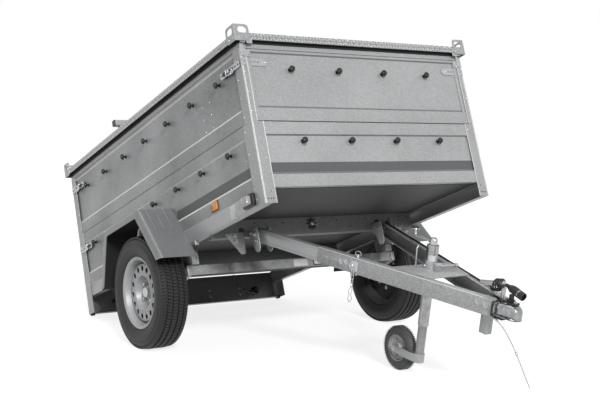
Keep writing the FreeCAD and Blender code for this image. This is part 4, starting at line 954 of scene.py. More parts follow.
class Repeats:
    """Makes pieces of rivets, bolts and copies on sites."""

    def __init__(self) -> None:
        """Builds the trees."""
        self.rivets_tree = rivet_tree()
        self.bolts_tree = bolt_tree()
        self.copies_tree = copy_tree()

    def rivets(self, name: str, body: str, place: Matrix, sites: Sequence[Site], radius: float = 0.0042,
               height: float = 0.0022, finish: Finish = ZINC, tree: Optional[Tree] = None) -> None:
        """Rivet heads as one piece.

        Args:
            name: the piece's name.
            body: the body that it rides on.
            place: the sites' frame.
            sites: where the heads sit.
            radius: a head's radius.
            height: a head's height.
            finish: the heads' finish.
            tree: the tree that makes them, where they aren't rivets.
        """
        self._piece(tree or self.rivets_tree, name, body, place, sites, finish,
                    {"Head Radius": radius, "Head Height": height})

    def bolts(self, name: str, body: str, place: Matrix, sites: Sequence[Site], radius: float,
              height: float) -> None:
        """Hexagon bolts with washers as one piece, with the same arguments as rivets."""
        self.rivets(name, body, place, sites, radius, height, tree=self.bolts_tree)

    def copies(self, name: str, body: str, place: Matrix, sites: Sequence[Site], template: Form,
               finish: Finish, replaces: Sequence[str] = ()) -> None:
        """Copies of a form, which is drawn about its own origin with Z outward.

        Args:
            name: the piece's name.
            body: the body that it rides on.
            place: the sites' frame.
            sites: where the copies sit.
            template: the form.
            finish: the copies' finish.
            replaces: the solids that they stand for.
        """
        data = bpy.data.meshes.new("template")
        template.mesh.to_mesh(data)
        item = placed("template", data)
        self._piece(self.copies_tree, name, body, place, sites, finish, {"Template": item}, replaces)
        bpy.data.objects.remove(item)

    def _piece(self, tree: Tree, name: str, body: str, place: Matrix, sites: Sequence[Site], finish: Finish,
               values: dict, replaces: Sequence[str] = ()) -> None:
        """Runs a tree on sites and makes the result a piece.

        Args:
            tree: what makes the copies.
            name: the piece's name.
            body: the body that it rides on.
            place: the frame of the sites.
            sites: where the copies go.
            finish: the finish.
            values: the tree's inputs by name.
            replaces: the solids that the piece stands for.
        """
        form = Form()
        form.add_mesh(tree.run(site_points(sites, place), {**values, "Finish": finish.material()}))
        form.piece(name, body, (finish,), replaces)


# The bed: walls, boards, posts and what is on them

LOWER = (SIZE.rail_height, SIZE.low_belt, SIZE.high_belt, SIZE.board_top)
UPPER = (SIZE.upper_low, SIZE.upper_belt, SIZE.wall_top - SIZE.top_flange, SIZE.wall_top)
GATE = (SIZE.rail_height + SIZE.gate_gap, *LOWER[1:])


def wall_outline(levels: Sequence[float], sign: int, face: float) -> list[Point2]:
    """A wall's section as (outward, up) corners, folded round its pressed field.

    Args:
        levels: its lower edge, the folds below and above the field, and its upper edge.
        sign: which way its outside looks.
        face: where its outside is, from the middle or the front.

    Returns:
        The corners.
    """
    low, belt, fold, top = levels
    outer, dished, inner = (sign * (face - depth) for depth in (0.0, SIZE.wall_dish, SIZE.wall_thick))
    return [(outer, low), (outer, belt), (dished, belt + 1.6 * SIZE.wall_dish), (dished, fold - SIZE.wall_dish),
            (outer, fold), (outer, top), (inner, top), (inner, low)]


@dataclass
class Walls:
    """The folded sheet walls and boards.

    Attributes:
        repeats: what makes rivets and bolts.
        fold: radius of the sheet's folds.
        stripe_low: lower edge of the dark stripe.
        stripe_high: upper edge of the dark stripe.
        foil: thickness of the stripe.
        end_flange: width of the flat ends of a board.
    """

    repeats: Repeats
    fold: float = 0.0018
    stripe_low: float = 0.137
    stripe_high: float = 0.181
    foil: float = 0.0003
    end_flange: float = 0.020

    def paint_fold_light(self, form: Form) -> None:
        """Gives the slanted faces of the folds of walls their second finish, which paints a highlight or a shade on
        them.

        Args:
            form: the form with the walls.
        """
        # the fold facets take finish 1: a painted highlight on the side walls, a painted shade on the boards
        for face in form.mesh.faces:
            if 0.3 < abs(face.normal.z) < 0.92 and face.calc_area() > 1e-5:
                face.material_index = 1

    def sides(self) -> None:
        """The fixed side walls, their sheet darkened as painted shade and their fold facets given a painted highlight.
        """
        for word, levels in (("lower", LOWER), ("upper", UPPER)):
            form = Form(BED)
            for side in BOTH:
                form.prism(fillet(wall_outline(levels, side, SIZE.half_width), self.fold), SIZE.column,
                           SIZE.bed_length - SIZE.column, "Y")
            self.paint_fold_light(form)
            form.piece(f"folded_side_walls_{word}", "bed", (SIDE_SHEET_PAINTED_SHADE, FOLD_PAINTED_HIGHLIGHT), (f"side_walls_{word}",), 50)

    def boards(self) -> None:
        """The fixed front wall, the two hinged boards and the tailgate."""
        for name, body, levels, sign, face, half, node in (
            ("folded_front_wall", "bed", LOWER, -1, 0, SIZE.column_x, "front_wall_lower"),
            ("folded_front_board", "front_board", UPPER, -1, 0, SIZE.board_half, "front_board_upper"),
            ("folded_rear_board", "rear_board", UPPER, 1, SIZE.bed_length, SIZE.board_half, "rear_board_upper"),
            ("folded_tailgate", "tailgate", GATE, 1, SIZE.bed_length, SIZE.board_half, "tailgate"),
        ):
            outline = wall_outline(levels, sign, face)
            form = Form(BED)
            form.prism(fillet(outline, self.fold), -half, half, "X")
            self.paint_fold_light(form)
            if levels is UPPER:
                near, far = sorted((outline[0][0], outline[2][0]))
                for side in BOTH:
                    form.block((side * half, near, SIZE.upper_belt),
                               (side * (half - self.end_flange), far + 0.001, UPPER[2]), soft=0.0016)
            if body != "bed":
                middle = (outline[0][0] + outline[-1][0]) / 2
                for side in BOTH:
                    form.turned(mm((0, 0), (0, 6), (15.5, 6), (16, 5.5), (16, 0)), 20,
                                aimed((side * half, middle, levels[0] + SIZE.pin_up), (side, 0, 0)))
            # the boards' fold facets take the dark painted shade
            form.piece(name, body, (WALL_SHEET, FOLD_PAINTED_SHADE), (node,), 50)

    def stripes(self) -> None:
        """The bare dark stripe along the front and the sides."""
        form = Form(BED)
        face = SIZE.half_width - SIZE.wall_dish
        low, high = self.stripe_low, self.stripe_high
        form.block((-SIZE.column_x, SIZE.wall_dish - self.foil, low), (SIZE.column_x, SIZE.wall_dish + 0.001, high), 0)
        for side in BOTH:
            form.block((side * (face - 0.001), SIZE.column, low),
                       (side * (face + self.foil), SIZE.wheel_y - 0.2, high), 0)
        form.piece("stripe_foil", "bed", (STRIPE_FOIL,))

    def seals(self) -> None:
        """The black strips between the lower and the upper side walls."""
        form = Form(BED)
        for side in BOTH:
            form.block((side * (SIZE.half_width - 0.006), SIZE.column, SIZE.board_top - 0.0008),
                       (side * (SIZE.half_width - 0.0006), SIZE.bed_length - SIZE.column, SIZE.upper_low + 0.0004), 0)
        form.piece("joint_seals", "bed", (SEAL_RUBBER,), ("joint_strips",))

    def rivets(self) -> None:
        """Rivets in the side walls and small dots on the front board."""
        spots = [(y, z) for y in (0.330, 0.405) for z in (0.450, 0.510, 0.570)]
        spots += [(y, 0.215) for y in (0.10, 1.62, 1.72, 1.95)]
        sites = [Site((side * (SIZE.half_width - SIZE.wall_dish), *spot), (side, 0, 0))
                 for side in BOTH for spot in spots]
        self.repeats.rivets("wall_rivets", "bed", BED, sites)
        dots = [Site((x, SIZE.wall_dish, z), (0, -1, 0)) for x in (-0.28, 0.28) for z in (0.47, 0.545, 0.65)]
        self.repeats.rivets("front_board_rivets", "front_board", BED, dots, 0.003, 0.0014)

    def build(self) -> None:
        """Makes everything."""
        self.sides()
        self.boards()
        self.stripes()
        self.seals()
        self.rivets()


@dataclass
class CornerPosts:
    """The corner columns with their bent plates and rivets.

    Attributes:
        repeats: what makes the rivets.
        bend: outer radius of a plate's bend.
        rivet_pitch: distance between a plate's rivets.
        split: lower end of the upper posts.
    """

    repeats: Repeats
    bend: float = 0.006
    rivet_pitch: float = 0.086
    split: float = SIZE.board_top + 0.0004

    def post(self, form: Form, side: int, along: int, leaves: Point2, levels: Point3) -> None:
        """A bent corner plate round its column.

        Args:
            form: what it is added to.
            side: -1 on the left, 1 on the right.
            along: -1 in front, 1 at the rear.
            leaves: width of the leaf on the end face and of that on the side.
            levels: lower end of the plate, lower end of the column, and their upper end.
        """
        sheet = SIZE.post_sheet
        face = 0.0 if along < 0 else SIZE.bed_length
        x, y = side * (SIZE.half_width + sheet), face + along * sheet
        end_x, side_y = x - side * (leaves[0] + sheet), y - along * leaves[1]
        outline = [(x, y), (end_x, y), (end_x, y - along * sheet), (x - side * sheet, y - along * sheet),
                   (x - side * sheet, side_y), (x, side_y)]
        form.prism(fillet(outline, self.bend, 6), levels[0], levels[2])
        column = rect((side * SIZE.half_width, face), (side * SIZE.column_x, face - along * SIZE.column), 0.003)
        form.prism(column, levels[1], levels[2])

    def foot(self, form: Form, side: int) -> None:
        """The black foot below a rear post."""
        form.turned(mm((-8.5, 0), (-8.5, 12.5), (-7, 14), (0, 14), (4, 9), (10, 9), (10, 0)), 24,
                    aimed((side * (SIZE.half_width - 0.014), SIZE.bed_length - 0.014, -SIZE.skirt_drop), UP), 1)

    def rivets(self, side: int, along: int, low: float, end_leaf: float) -> list[Site]:
        """Rivets of one corner.

        Args:
            side: -1 on the left, 1 on the right.
            along: -1 in front, 1 at the rear.
            low: lower end of the lower plate.
            end_leaf: width of its leaf on the end face.

        Returns:
            The rivets' sites.
        """
        face = 0.0 if along < 0 else SIZE.bed_length
        upper_y = face - along * (SIZE.upper_leaf - 0.012 - SIZE.post_sheet)
        lower_y = face - along * (SIZE.side_leaf - 0.016)
        spots = [(upper_y, SIZE.board_top + 0.03 + k * self.rivet_pitch) for k in range(4)]
        spots += [(lower_y, low + 0.032 + k * (SIZE.board_top - low - 0.064) / 3) for k in range(4)]
        sites = [Site((side * (SIZE.half_width + SIZE.post_sheet), *spot), (side, 0, 0)) for spot in spots]
        spots = [(end_leaf - 0.012, z) for z in (0.05, 0.20, 0.335)] + [(0.014, z) for z in (0.41, 0.50, 0.59)]
        return sites + [Site((side * (SIZE.half_width - reach), face + along * SIZE.post_sheet, z), (0, along, 0))
                        for reach, z in spots]

    def painted_highlights(self, form: Form, side: int, low: float, top: float, leaf: float) -> None:
        """Painted highlight strips down both edges of a front plate.

        Args:
            form: what they are added to.
            side: -1 on the left, 1 on the right.
            low: their lower end.
            top: their upper end.
            leaf: width of the plate's leaf.
        """
        for reach in (0.0035, leaf - 0.002):
            form.block((side * (SIZE.half_width - reach), -SIZE.post_sheet - 0.0005, low),
                       (side * (SIZE.half_width - reach - 0.0032), -SIZE.post_sheet + 0.0005, top), 0.0002, index=2)

    def build(self) -> None:
        """Makes the posts, their columns, feet and rivets."""
        lower, upper = Form(BED), Form(BED)
        sites = []
        for side in BOTH:
            for along in BOTH:
                low, end_leaf = (0.0, SIZE.front_leaf) if along < 0 else (-SIZE.skirt_drop, SIZE.column)
                self.post(lower, side, along, (end_leaf, SIZE.side_leaf), (low, SIZE.rail_height, SIZE.board_top))
                self.post(upper, side, along, (SIZE.column, SIZE.upper_leaf), (self.split, self.split, SIZE.wall_top))
                sites += self.rivets(side, along, low, end_leaf)
            self.foot(lower, side)
            self.painted_highlights(lower, side, 0.0, SIZE.board_top, SIZE.front_leaf)
            self.painted_highlights(upper, side, SIZE.board_top + 0.0006, SIZE.wall_top, SIZE.column)
        for word, form in (("lower", lower), ("upper", upper)):
            form.piece(f"corner_plates_{word}", "bed", (POST_ZINC, BLACK_PLASTIC_AND_PAINTED_SHADE, FOLD_PAINTED_HIGHLIGHT),
                       (f"corner_posts_{word}",), 40)
        # black dots as painted shade for the holes in the front leaves
        dots = [Site((side * (SIZE.half_width - x), -SIZE.post_sheet, z), (0, -1, 0)) for side in BOTH
                for x, z in mm((16, 20), (30, 20), (42, 20), (40, 52))]
        self.repeats.rivets("post_holes", "bed", BED, dots, 0.0034, 0.0005, BLACK_PLASTIC_AND_PAINTED_SHADE)
        self.repeats.rivets("post_rivets", "bed", BED, sites)


@dataclass
class Lid:
    """The lid with its tread plate, seal, lugs, hinges and bar.

    Attributes:
        repeats: what makes the rivets.
        sheet: thickness of the lid's sheet.
        edge: radius of the lid's upper edge.
        rim_pitch: distance between the bars on the rim.
        frame_top: where the frame ends and the seal starts.
        lug_sheet: thickness of a lug.
        eye_long: length of a lug's eye.
        eye_high: height of a lug's eye.
        knuckle: place of a hinge's knuckle: across, along and up.
    """

    repeats: Repeats
    sheet: float = 0.003
    edge: float = 0.004
    rim_pitch: float = 0.0165
    frame_top: float = 0.722
    lug_sheet: float = 0.003
    eye_long: float = 0.045
    eye_high: float = 0.033
    knuckle: Point3 = (0.6305, -0.013, 0.727)

    @property
    def out_x(self) -> float:
        """Half width over the lid's rim."""
        return SIZE.half_width + SIZE.lid_over

    def end_y(self, along: int) -> float:
        """Where the rim's front (-1) or rear (1) is."""
        return -SIZE.lid_over if along < 0 else SIZE.bed_length + SIZE.lid_over

    def tray(self) -> None:
        """The folded lid sheet, open below, with its hinge knuckles."""
        form = Form(BED)
        part = bmesh.new()
        top, under = SIZE.lid_top, SIZE.lid_top - self.sheet
        rings = []
        for inset, z in ((0.0, SIZE.rim_low), (0.0, top - self.edge), (self.edge * 0.3, top - self.edge * 0.3),
                         (self.edge, top), (self.edge + 0.0001, under), (self.sheet, under),
                         (self.sheet, SIZE.rim_low)):
            x, y0, y1 = self.out_x - inset, self.end_y(-1) + inset, self.end_y(1) - inset
            rings.append([part.verts.new((*corner, z)) for corner in rect((-x, y0), (x, y1))])
        outer, inner = rings[:4], rings[4:]
        skin(part, outer)
        skin(part, inner)
        skin(part, [inner[-1], outer[0]])
        part.faces.new(outer[-1])
        part.faces.new(inner[0][::-1])
        form.take(part)
        across, along, up = self.knuckle
        for side in BOTH:
            middle = side * across
            form.turned(mm((-8.3, 4.1), (-8.3, 5.8), (-8, 6), (8, 6), (8.3, 5.8), (8.3, 4.1)), 24,
                        aimed((middle, along, up), (1, 0, 0)), ring=True)
            form.block((middle - 0.0083, -SIZE.lid_over, up + 0.001), (middle + 0.0083, along, up + 0.012), 0.001)
        form.piece("lid_sheet", "lid", (LID_ALLOY,), ("lid_panel",))

    def tread(self) -> None:
        """The raised bars on the lid's top and rim, painted lighter than the sheet as a painted highlight."""
        form = Form()
        tree = tread_plate_tree()
        high = SIZE.lid_top - SIZE.rim_low
        middle_y, middle_z = SIZE.bed_length / 2, (SIZE.lid_top + SIZE.rim_low) / 2 - 0.001
        long = SIZE.bed_length + 2 * SIZE.lid_over
        # place, width across, length along, distance between bars
        flats = [(Matrix.Translation((0, middle_y, SIZE.lid_top)), 2 * self.out_x, long, 0.030)]
        flats += [(basis((side * self.out_x, middle_y, middle_z), (0, 0, -side), (0, 1, 0)), high, long,
                   self.rim_pitch) for side in BOTH]
        flats += [(basis((0, self.end_y(along), middle_z), (0, 0, along), (1, 0, 0)), high, 2 * self.out_x,
                   self.rim_pitch) for along in BOTH]
        for matrix, width, length, pitch in flats:
            across, count = max(2, int((width - 0.012) / pitch)), int((length - 0.02) / pitch)
            mesh = tree.run(bpy.data.meshes.new("empty"), {
                "Count Along": count, "Count Across": across, "Length": (count - 1) * pitch,
                "Width": (across - 1) * pitch, "Bar Length": pitch * 0.46, "Bar Width": pitch * 0.13,
                "Bar Height": 0.0013, "Finish": TREAD_PAINTED_HIGHLIGHT.material()})
            form.add_mesh(mesh, BED @ matrix)
        form.piece("lid_tread_bars", "lid", (TREAD_PAINTED_HIGHLIGHT,))
        z = SIZE.rim_low + 0.009
        sites = [Site((x, -SIZE.lid_over, z), (0, -1, 0)) for x in (-0.52, -0.505, -0.49, 0.0, 0.47, 0.485, 0.50)]
        sites += [Site((side * self.out_x, y, z), (side, 0, 0)) for side in BOTH for y in (0.11, 0.125, 1.0, 1.89)]
        self.repeats.rivets("rim_screws", "lid", BED, sites, 0.0026, 0.0013, BLACK_PLASTIC_AND_PAINTED_SHADE)

    def seal(self) -> None:
        """The grey frame and the black seal between the walls and the lid."""
        form = Form(BED)
        for low, high, out, wide, index in (
            # lower edge, upper edge, outside the walls, inside them, finish
            (SIZE.wall_top + 0.0016, self.frame_top, 0.0, 0.018, 0),
            (self.frame_top, SIZE.lid_top - self.sheet - 0.0002, 0.003, 0.020, 1),
        ):
            x, y0, y1 = SIZE.half_width + out, -out, SIZE.bed_length + out
            for first, second in (((-x, y0), (x, y0 + wide)), ((-x, y1 - wide), (x, y1)),
                                  ((-x, y0 + wide), (-x + wide, y1 - wide)), ((x - wide, y0 + wide), (x, y1 - wide))):
                form.block((*first, low), (*second, high), 0, index=index)
        form.piece("lid_frame_and_seal", "lid", (WALL_SHEET, SEAL_RUBBER), ("lid_seal",))

    def lugs(self) -> None:
        """The bent lugs with their eyes and rivets."""
        form = Form(BED)
        sites = []
        half, tall = self.lug_sheet / 2, SIZE.lug_top - SIZE.lug_low
        rounded = fillet([(0, 0), (SIZE.lug_leaf, 0), (SIZE.lug_leaf - 0.003, tall), (0.0, tall)], 0.017, 6)
        leaf = [(0.0, 0.0)] + [spot for spot in rounded if spot[0] > SIZE.lug_leaf * 0.5] + [(0.0, tall)]
        eye = slot(self.eye_long, self.eye_high, (SIZE.lug_leaf / 2 + 0.002, tall - self.eye_high / 2 - 0.010))
        for side in BOTH:
            for along in BOTH:
                x, y = side * (self.out_x + half), self.end_y(along) + along * half
                for across in ((0, -along, 0), (-side, 0, 0)):
                    form.plate([leaf, eye], self.lug_sheet, basis((x, y, SIZE.lug_low), across, UP))
                form.pipe([(x, y, SIZE.lug_low + 0.001), (x, y, SIZE.lug_top - 0.001)], half, sides=16)
                for reach in (0.020, 0.056):
                    z = SIZE.rim_low + 0.010
                    sites.append(Site((x + side * half, y - along * reach, z), (side, 0, 0)))
                    sites.append(Site((x - side * reach, y + along * half, z), (0, along, 0)))
        form.piece("lug_plates", "lid", (GALVANISED,), ("lid_lugs",))
        self.repeats.rivets("lug_rivets", "lid", BED, sites, 0.0048)

    def bar(self) -> None:
        """The square tube across the lid, its end caps and feet."""
        form = Form(BED)
        half, top, end = SIZE.bar_side / 2, SIZE.lid_top, SIZE.bar_half
        low = top + SIZE.bar_seat
        outline = rect((SIZE.bar_y - half, low), (SIZE.bar_y + half, low + 2 * half), 0.004)
        form.prism(outline, -end + 0.004, end - 0.004, "X")
        for side in BOTH:
            form.prism(outline, side * (end - 0.0045), side * end, "X", index=1)
            x = side * (end - 0.045)
            for reach, foot, head in ((half, top + 0.004, low + 0.001), (half * 0.99, top, top + 0.004)):
                form.block((x - 0.015, SIZE.bar_y - reach, foot), (x + 0.015, SIZE.bar_y + reach, head))
        form.piece("lid_square_bar", "lid", (GALVANISED, BLACK_PLASTIC_AND_PAINTED_SHADE), ("lid_crossbar",))
        sites = [Site((side * (end - 0.045), SIZE.bar_y, low + 2 * half - 0.0005), UP) for side in BOTH]
        self.repeats.rivets("bar_screws", "lid", BED, sites, 0.006, 0.0005)

    def build(self) -> None:
        """Makes everything on the lid."""
        self.tray()
        self.tread()
        self.seal()
        self.lugs()
        self.bar()


@dataclass
class Fittings:
    """Knobs, straps, clasps, lamps and labels on the bed.

    Attributes:
        repeats: what makes copies and rivets.
        strap_low: lower edge of the straps.
        strap_tall: height of the straps.
        strap_long: length of a strap.
        band_long: length of a side latch.
        band_wide: width of a side latch.
    """

    repeats: Repeats
    strap_low: float = 0.622
    strap_tall: float = 0.034
    strap_long: float = 0.104
    band_long: float = 0.172
    band_wide: float = 0.030

    def knob(self) -> Form:
        """A tarpaulin knob on its stud, Z outward."""
        form = Form()
        form.turned(mm((0, 0), (0, 10), (2, 10), (3, 5.2), (14.5, 5.2), (16, 12.5), (18.5, 14), (24, 14), (27.5, 11.8),
                       (29.5, 7), (29.8, 0)), 20, aimed((0, 0, 0), UP))
        return form.block(*mm((-4, -15.5, 15.5), (4, -8, 22)), 0.0014)

    def knobs(self) -> None:
        """All knobs."""
        sites = [Site((side * (SIZE.half_width - SIZE.wall_dish), SIZE.first_knob_y + k * SIZE.knob_pitch, z),
                      (side, 0, 0)) for side in BOTH
                 for z, places in ((SIZE.upper_knob_z, range(7)), (SIZE.lower_knob_z, (0, 1, 2, 3, 6)))
                 for k in places]
        lower, upper = ([Site(((k - 1.5) * SIZE.front_knob_pitch, SIZE.wall_dish, z), (0, -1, 0)) for k in range(4)]
                        for z in (SIZE.lower_knob_z, SIZE.upper_knob_z))
        for name, body, spots, node in (("rope_knobs", "bed", sites + lower, "tarp_knobs"),
                                        ("rope_knobs_board", "front_board", upper, "front_board_knobs")):
            self.repeats.copies(name, body, BED, spots, self.knob(), BLACK_PLASTIC_AND_PAINTED_SHADE, (node,))

    def straps(self) -> None:
        """Slotted strap plates with pointed ends on the front board, and their keepers on the posts."""
        form, keepers = Form(BED), Form(BED)
        low, tall, long = self.strap_low, self.strap_tall, self.strap_long
        outline = [(0, 0), (long - 0.012, 0), (long, tall / 2), (long - 0.012, tall), (0, tall)]
        holes = [slot(0.012, 0.005, (0.020 + k * 0.018, tall / 2), 5) for k in range(3)]
        for side in BOTH:
            keepers.plate([rect((0, 0), (SIZE.column - 0.006, tall)), circle(0.004, (0.012, tall / 2), 14)], 0.0022,
                          basis((side * (SIZE.half_width - 0.001), -SIZE.post_sheet - 0.0011, low), (-side, 0, 0), UP),
                          0.0005)
            form.plate([outline] + holes, 0.0028,
                       basis((side * SIZE.board_half, SIZE.wall_dish - 0.0026, low), (-side, 0, 0), UP))
        keepers.piece("strap_keepers", "bed", (ZINC,))
        form.piece("strap_plates", "front_board", (ZINC,))
        sites = [Site((side * (SIZE.board_half - reach), SIZE.wall_dish - 0.004, low + tall / 2), (0, -1, 0))
                 for side in BOTH for reach in (0.078, 0.094)]
        self.repeats.rivets("strap_rivets", "front_board", BED, sites)

    def band(self, form: Form, place: Matrix) -> None:
        """A side latch: a slotted band, its lever, its catch and the wire loop under it.

        Args:
            form: what it is added to.
            place: its place, the first direction along the band.
        """
        long, half = self.band_long, self.band_wide / 2
        eyes = [slot(0.013, 0.008, (0.016 + 0.024 * k, 0.0), 5) for k in range(int(long / 0.0245))]
        form.plate([rect((0, -half), (long, half), 0.005)] + eyes, 0.0022,
                   place @ Matrix.Translation((0, 0, 0.0036)), 0.0005)
        form.plate([rect((0.002, -0.010), (long - 0.002, 0.010), 0.004)], 0.0022,
                   place @ Matrix.Translation((0, 0, 0.0012)), index=1)
        form.block(*mm((30, -8.5, 4.8), (52, 8.5, 12.5)), 0.0016, place, 1)
        form.block(*mm((66, -7, 4.8), (82, 7, 10.5)), 0.0014, place)
        form.turned(mm((-13.5, 0), (-13.5, 3.4), (13.5, 3.4), (13.5, 0)), 12,
                    place @ aimed((0.058, 0, 0.0095), (0, 1, 0)))
        form.pipe(mm((56, -11.5, 9.5), (80, -20, 9.5), (112, -21, 8.5), (124, -12, 7)), 0.0026, 0.010, 10, place)
        form.pipe(mm((56, 11.5, 9.5), (100, 10, 9.5), (124, 6, 7)), 0.0022, 0.008, 10, place)

    def clasps(self) -> None:
        """The six latches along the sides."""
        form = Form(BED)
        for side in BOTH:
            face = side * (SIZE.half_width + SIZE.post_sheet + 0.0002)
            for y, z, away in ((0.180, 0.632, -1), (SIZE.bed_length - 0.180, 0.632, 1),
                               (SIZE.bed_length - 0.180, 0.274, 1)):
                place = basis((face, y, z), (0, away, 0), (0, 0, away * side))
                if away * side < 0:
                    place = place @ Matrix.Scale(-1, 4, (0, 1, 0))
                self.band(form, place)
        form.piece("side_latches", "bed", (ZINC, BLACK_PLASTIC_AND_PAINTED_SHADE), ("side_clasps",))

    def corner_latch(self, form: Form, x: float) -> None:
        """Adds an upright latch on the board below a lug, at its middle.

        Args:
            form: the form that takes the latch.
            x: the place of its middle.
        """
        place = basis((x, -SIZE.post_sheet - 0.0008, 0.662), UP, (1, 0, 0))
        form.plate([rect((0, -0.023), (0.034, 0.023), 0.004)]
                   + [circle(0.0032, (0.008, y), 10) for y in (-0.015, 0.015)],
                   0.0024, place @ Matrix.Translation((0, 0, 0.0012)))
        form.block(*mm((4, -13, 2.4), (14, 13, 11)), 0.0018, place)
        form.block(*mm((18, -16, 2.4), (23, 16, 8)), 0.0012, place, 1)
        for ends in (((9, -16.5, 8.5), (45, -15, 15)), ((9, 16.5, 8.5), (45, 15, 15)), ((45, -15, 15), (45, 15, 15))):
            form.pipe(mm(*ends), 0.0022, sides=10, matrix=place)

    def front_latches(self) -> None:
        """Upright latches between the front board and the lid's rim, with their catches on the lid."""
        form, catches = Form(BED), Form(BED)
        for side in BOTH:
            self.corner_latch(form, side * 0.612)
            place = basis((side * 0.595, -SIZE.lid_over - 0.0002, 0.7155), UP, (1, 0, 0))
            catches.plate([rect((0, -0.014), (0.020, 0.014), 0.003), slot(0.006, 0.004, (0.009, 0.0), 4)], 0.0022,
                          place @ Matrix.Translation((0, 0, 0.0011)))
            catches.block(*mm((1, -9, 2), (7, 9, 6.2)), 0.0012, place, 1)
        form.piece("front_latches", "front_board", (ZINC, BLACK_PLASTIC_AND_PAINTED_SHADE))
        catches.piece("latch_catches", "lid", (ZINC, BLACK_PLASTIC_AND_PAINTED_SHADE))

    def lamps(self) -> None:
        """Side position lamps, side reflectors and tail lamps."""
        bases, lenses, ambers, tail = Form(BED), Form(BED), Form(BED), Form(BED)
        for side in BOTH:
            edge = side * (SIZE.half_width + SIZE.post_sheet)
            out = basis((edge, 0.068 if side > 0 else 0.160, 0.012), (0, side, 0), UP)
            bases.prism(rect((0, 0), (0.092, 0.056), 0.010, 5), 0, 0.0138, soft=0.0016, matrix=out)
            lenses.prism(rect((0.015, 0.008), (0.077, 0.048), 0.008, 5), 0.0138, 0.0355, soft=0.005, matrix=out)
            out = basis((side * SIZE.half_width, 0.392 if side > 0 else 0.447, 0.083), (0, side, 0), UP)
            # a black plate a little larger than the reflector, painted shade round its edge
            ambers.prism(rect((-0.006, -0.003), (0.058, 0.043), 0.004), 0, 0.0035, "Z", 0.0008, out, 1)
            ambers.prism(rect((-0.001, 0), (0.055, 0.040), 0.003), 0.002, 0.0078, "Z", 0.0014, out)
            out = basis((side * 0.520 + 0.070, SIZE.bed_length, -0.070), (-1, 0, 0), UP)
            tail.prism(rect((0, 0), (0.140, 0.090), 0.008), 0, 0.020, "Z", 0.0015, out, 1)
            for low, high, index in ((0.004, 0.047, 0), (0.048, 0.092, 2), (0.093, 0.136, 0)):
                tail.prism(rect((low, 0.004), (high, 0.086), 0.004), 0.018, 0.037, "Z", 0.004, out, index)
        bases.piece("position_lamp_bases", "bed", (BLACK_PLASTIC_AND_PAINTED_SHADE,), ("side_lamp_bases",))
        lenses.piece("position_lamp_lenses", "bed", (CLEAR,), ("side_lamp_lenses",))
        ambers.piece("amber_reflectors", "bed", (AMBER, BLACK_PLASTIC_AND_PAINTED_SHADE), ("side_reflectors",))
        tail.piece("tail_lamp_units", "bed", (RED_LENS, BLACK_PLASTIC_AND_PAINTED_SHADE, AMBER), ("tail_lamps",))

    def labels(self) -> None:
        """Bare white labels on the rails."""
        form = Form(BED)
        for side in BOTH:
            for y, z, wide, tall in mm((172, 6, 70, 30), (252, 4, 46, 62)):
                form.block((side * SIZE.half_width, y, z), (side * (SIZE.half_width + 0.0004), y + wide, z + tall), 0)
        form.piece("bare_labels", "bed", (BLANK_LABEL,))

    def build(self) -> None:
        """Makes all fittings."""
        self.knobs()
        self.straps()
        self.clasps()
        self.front_latches()
        self.lamps()
        self.labels()


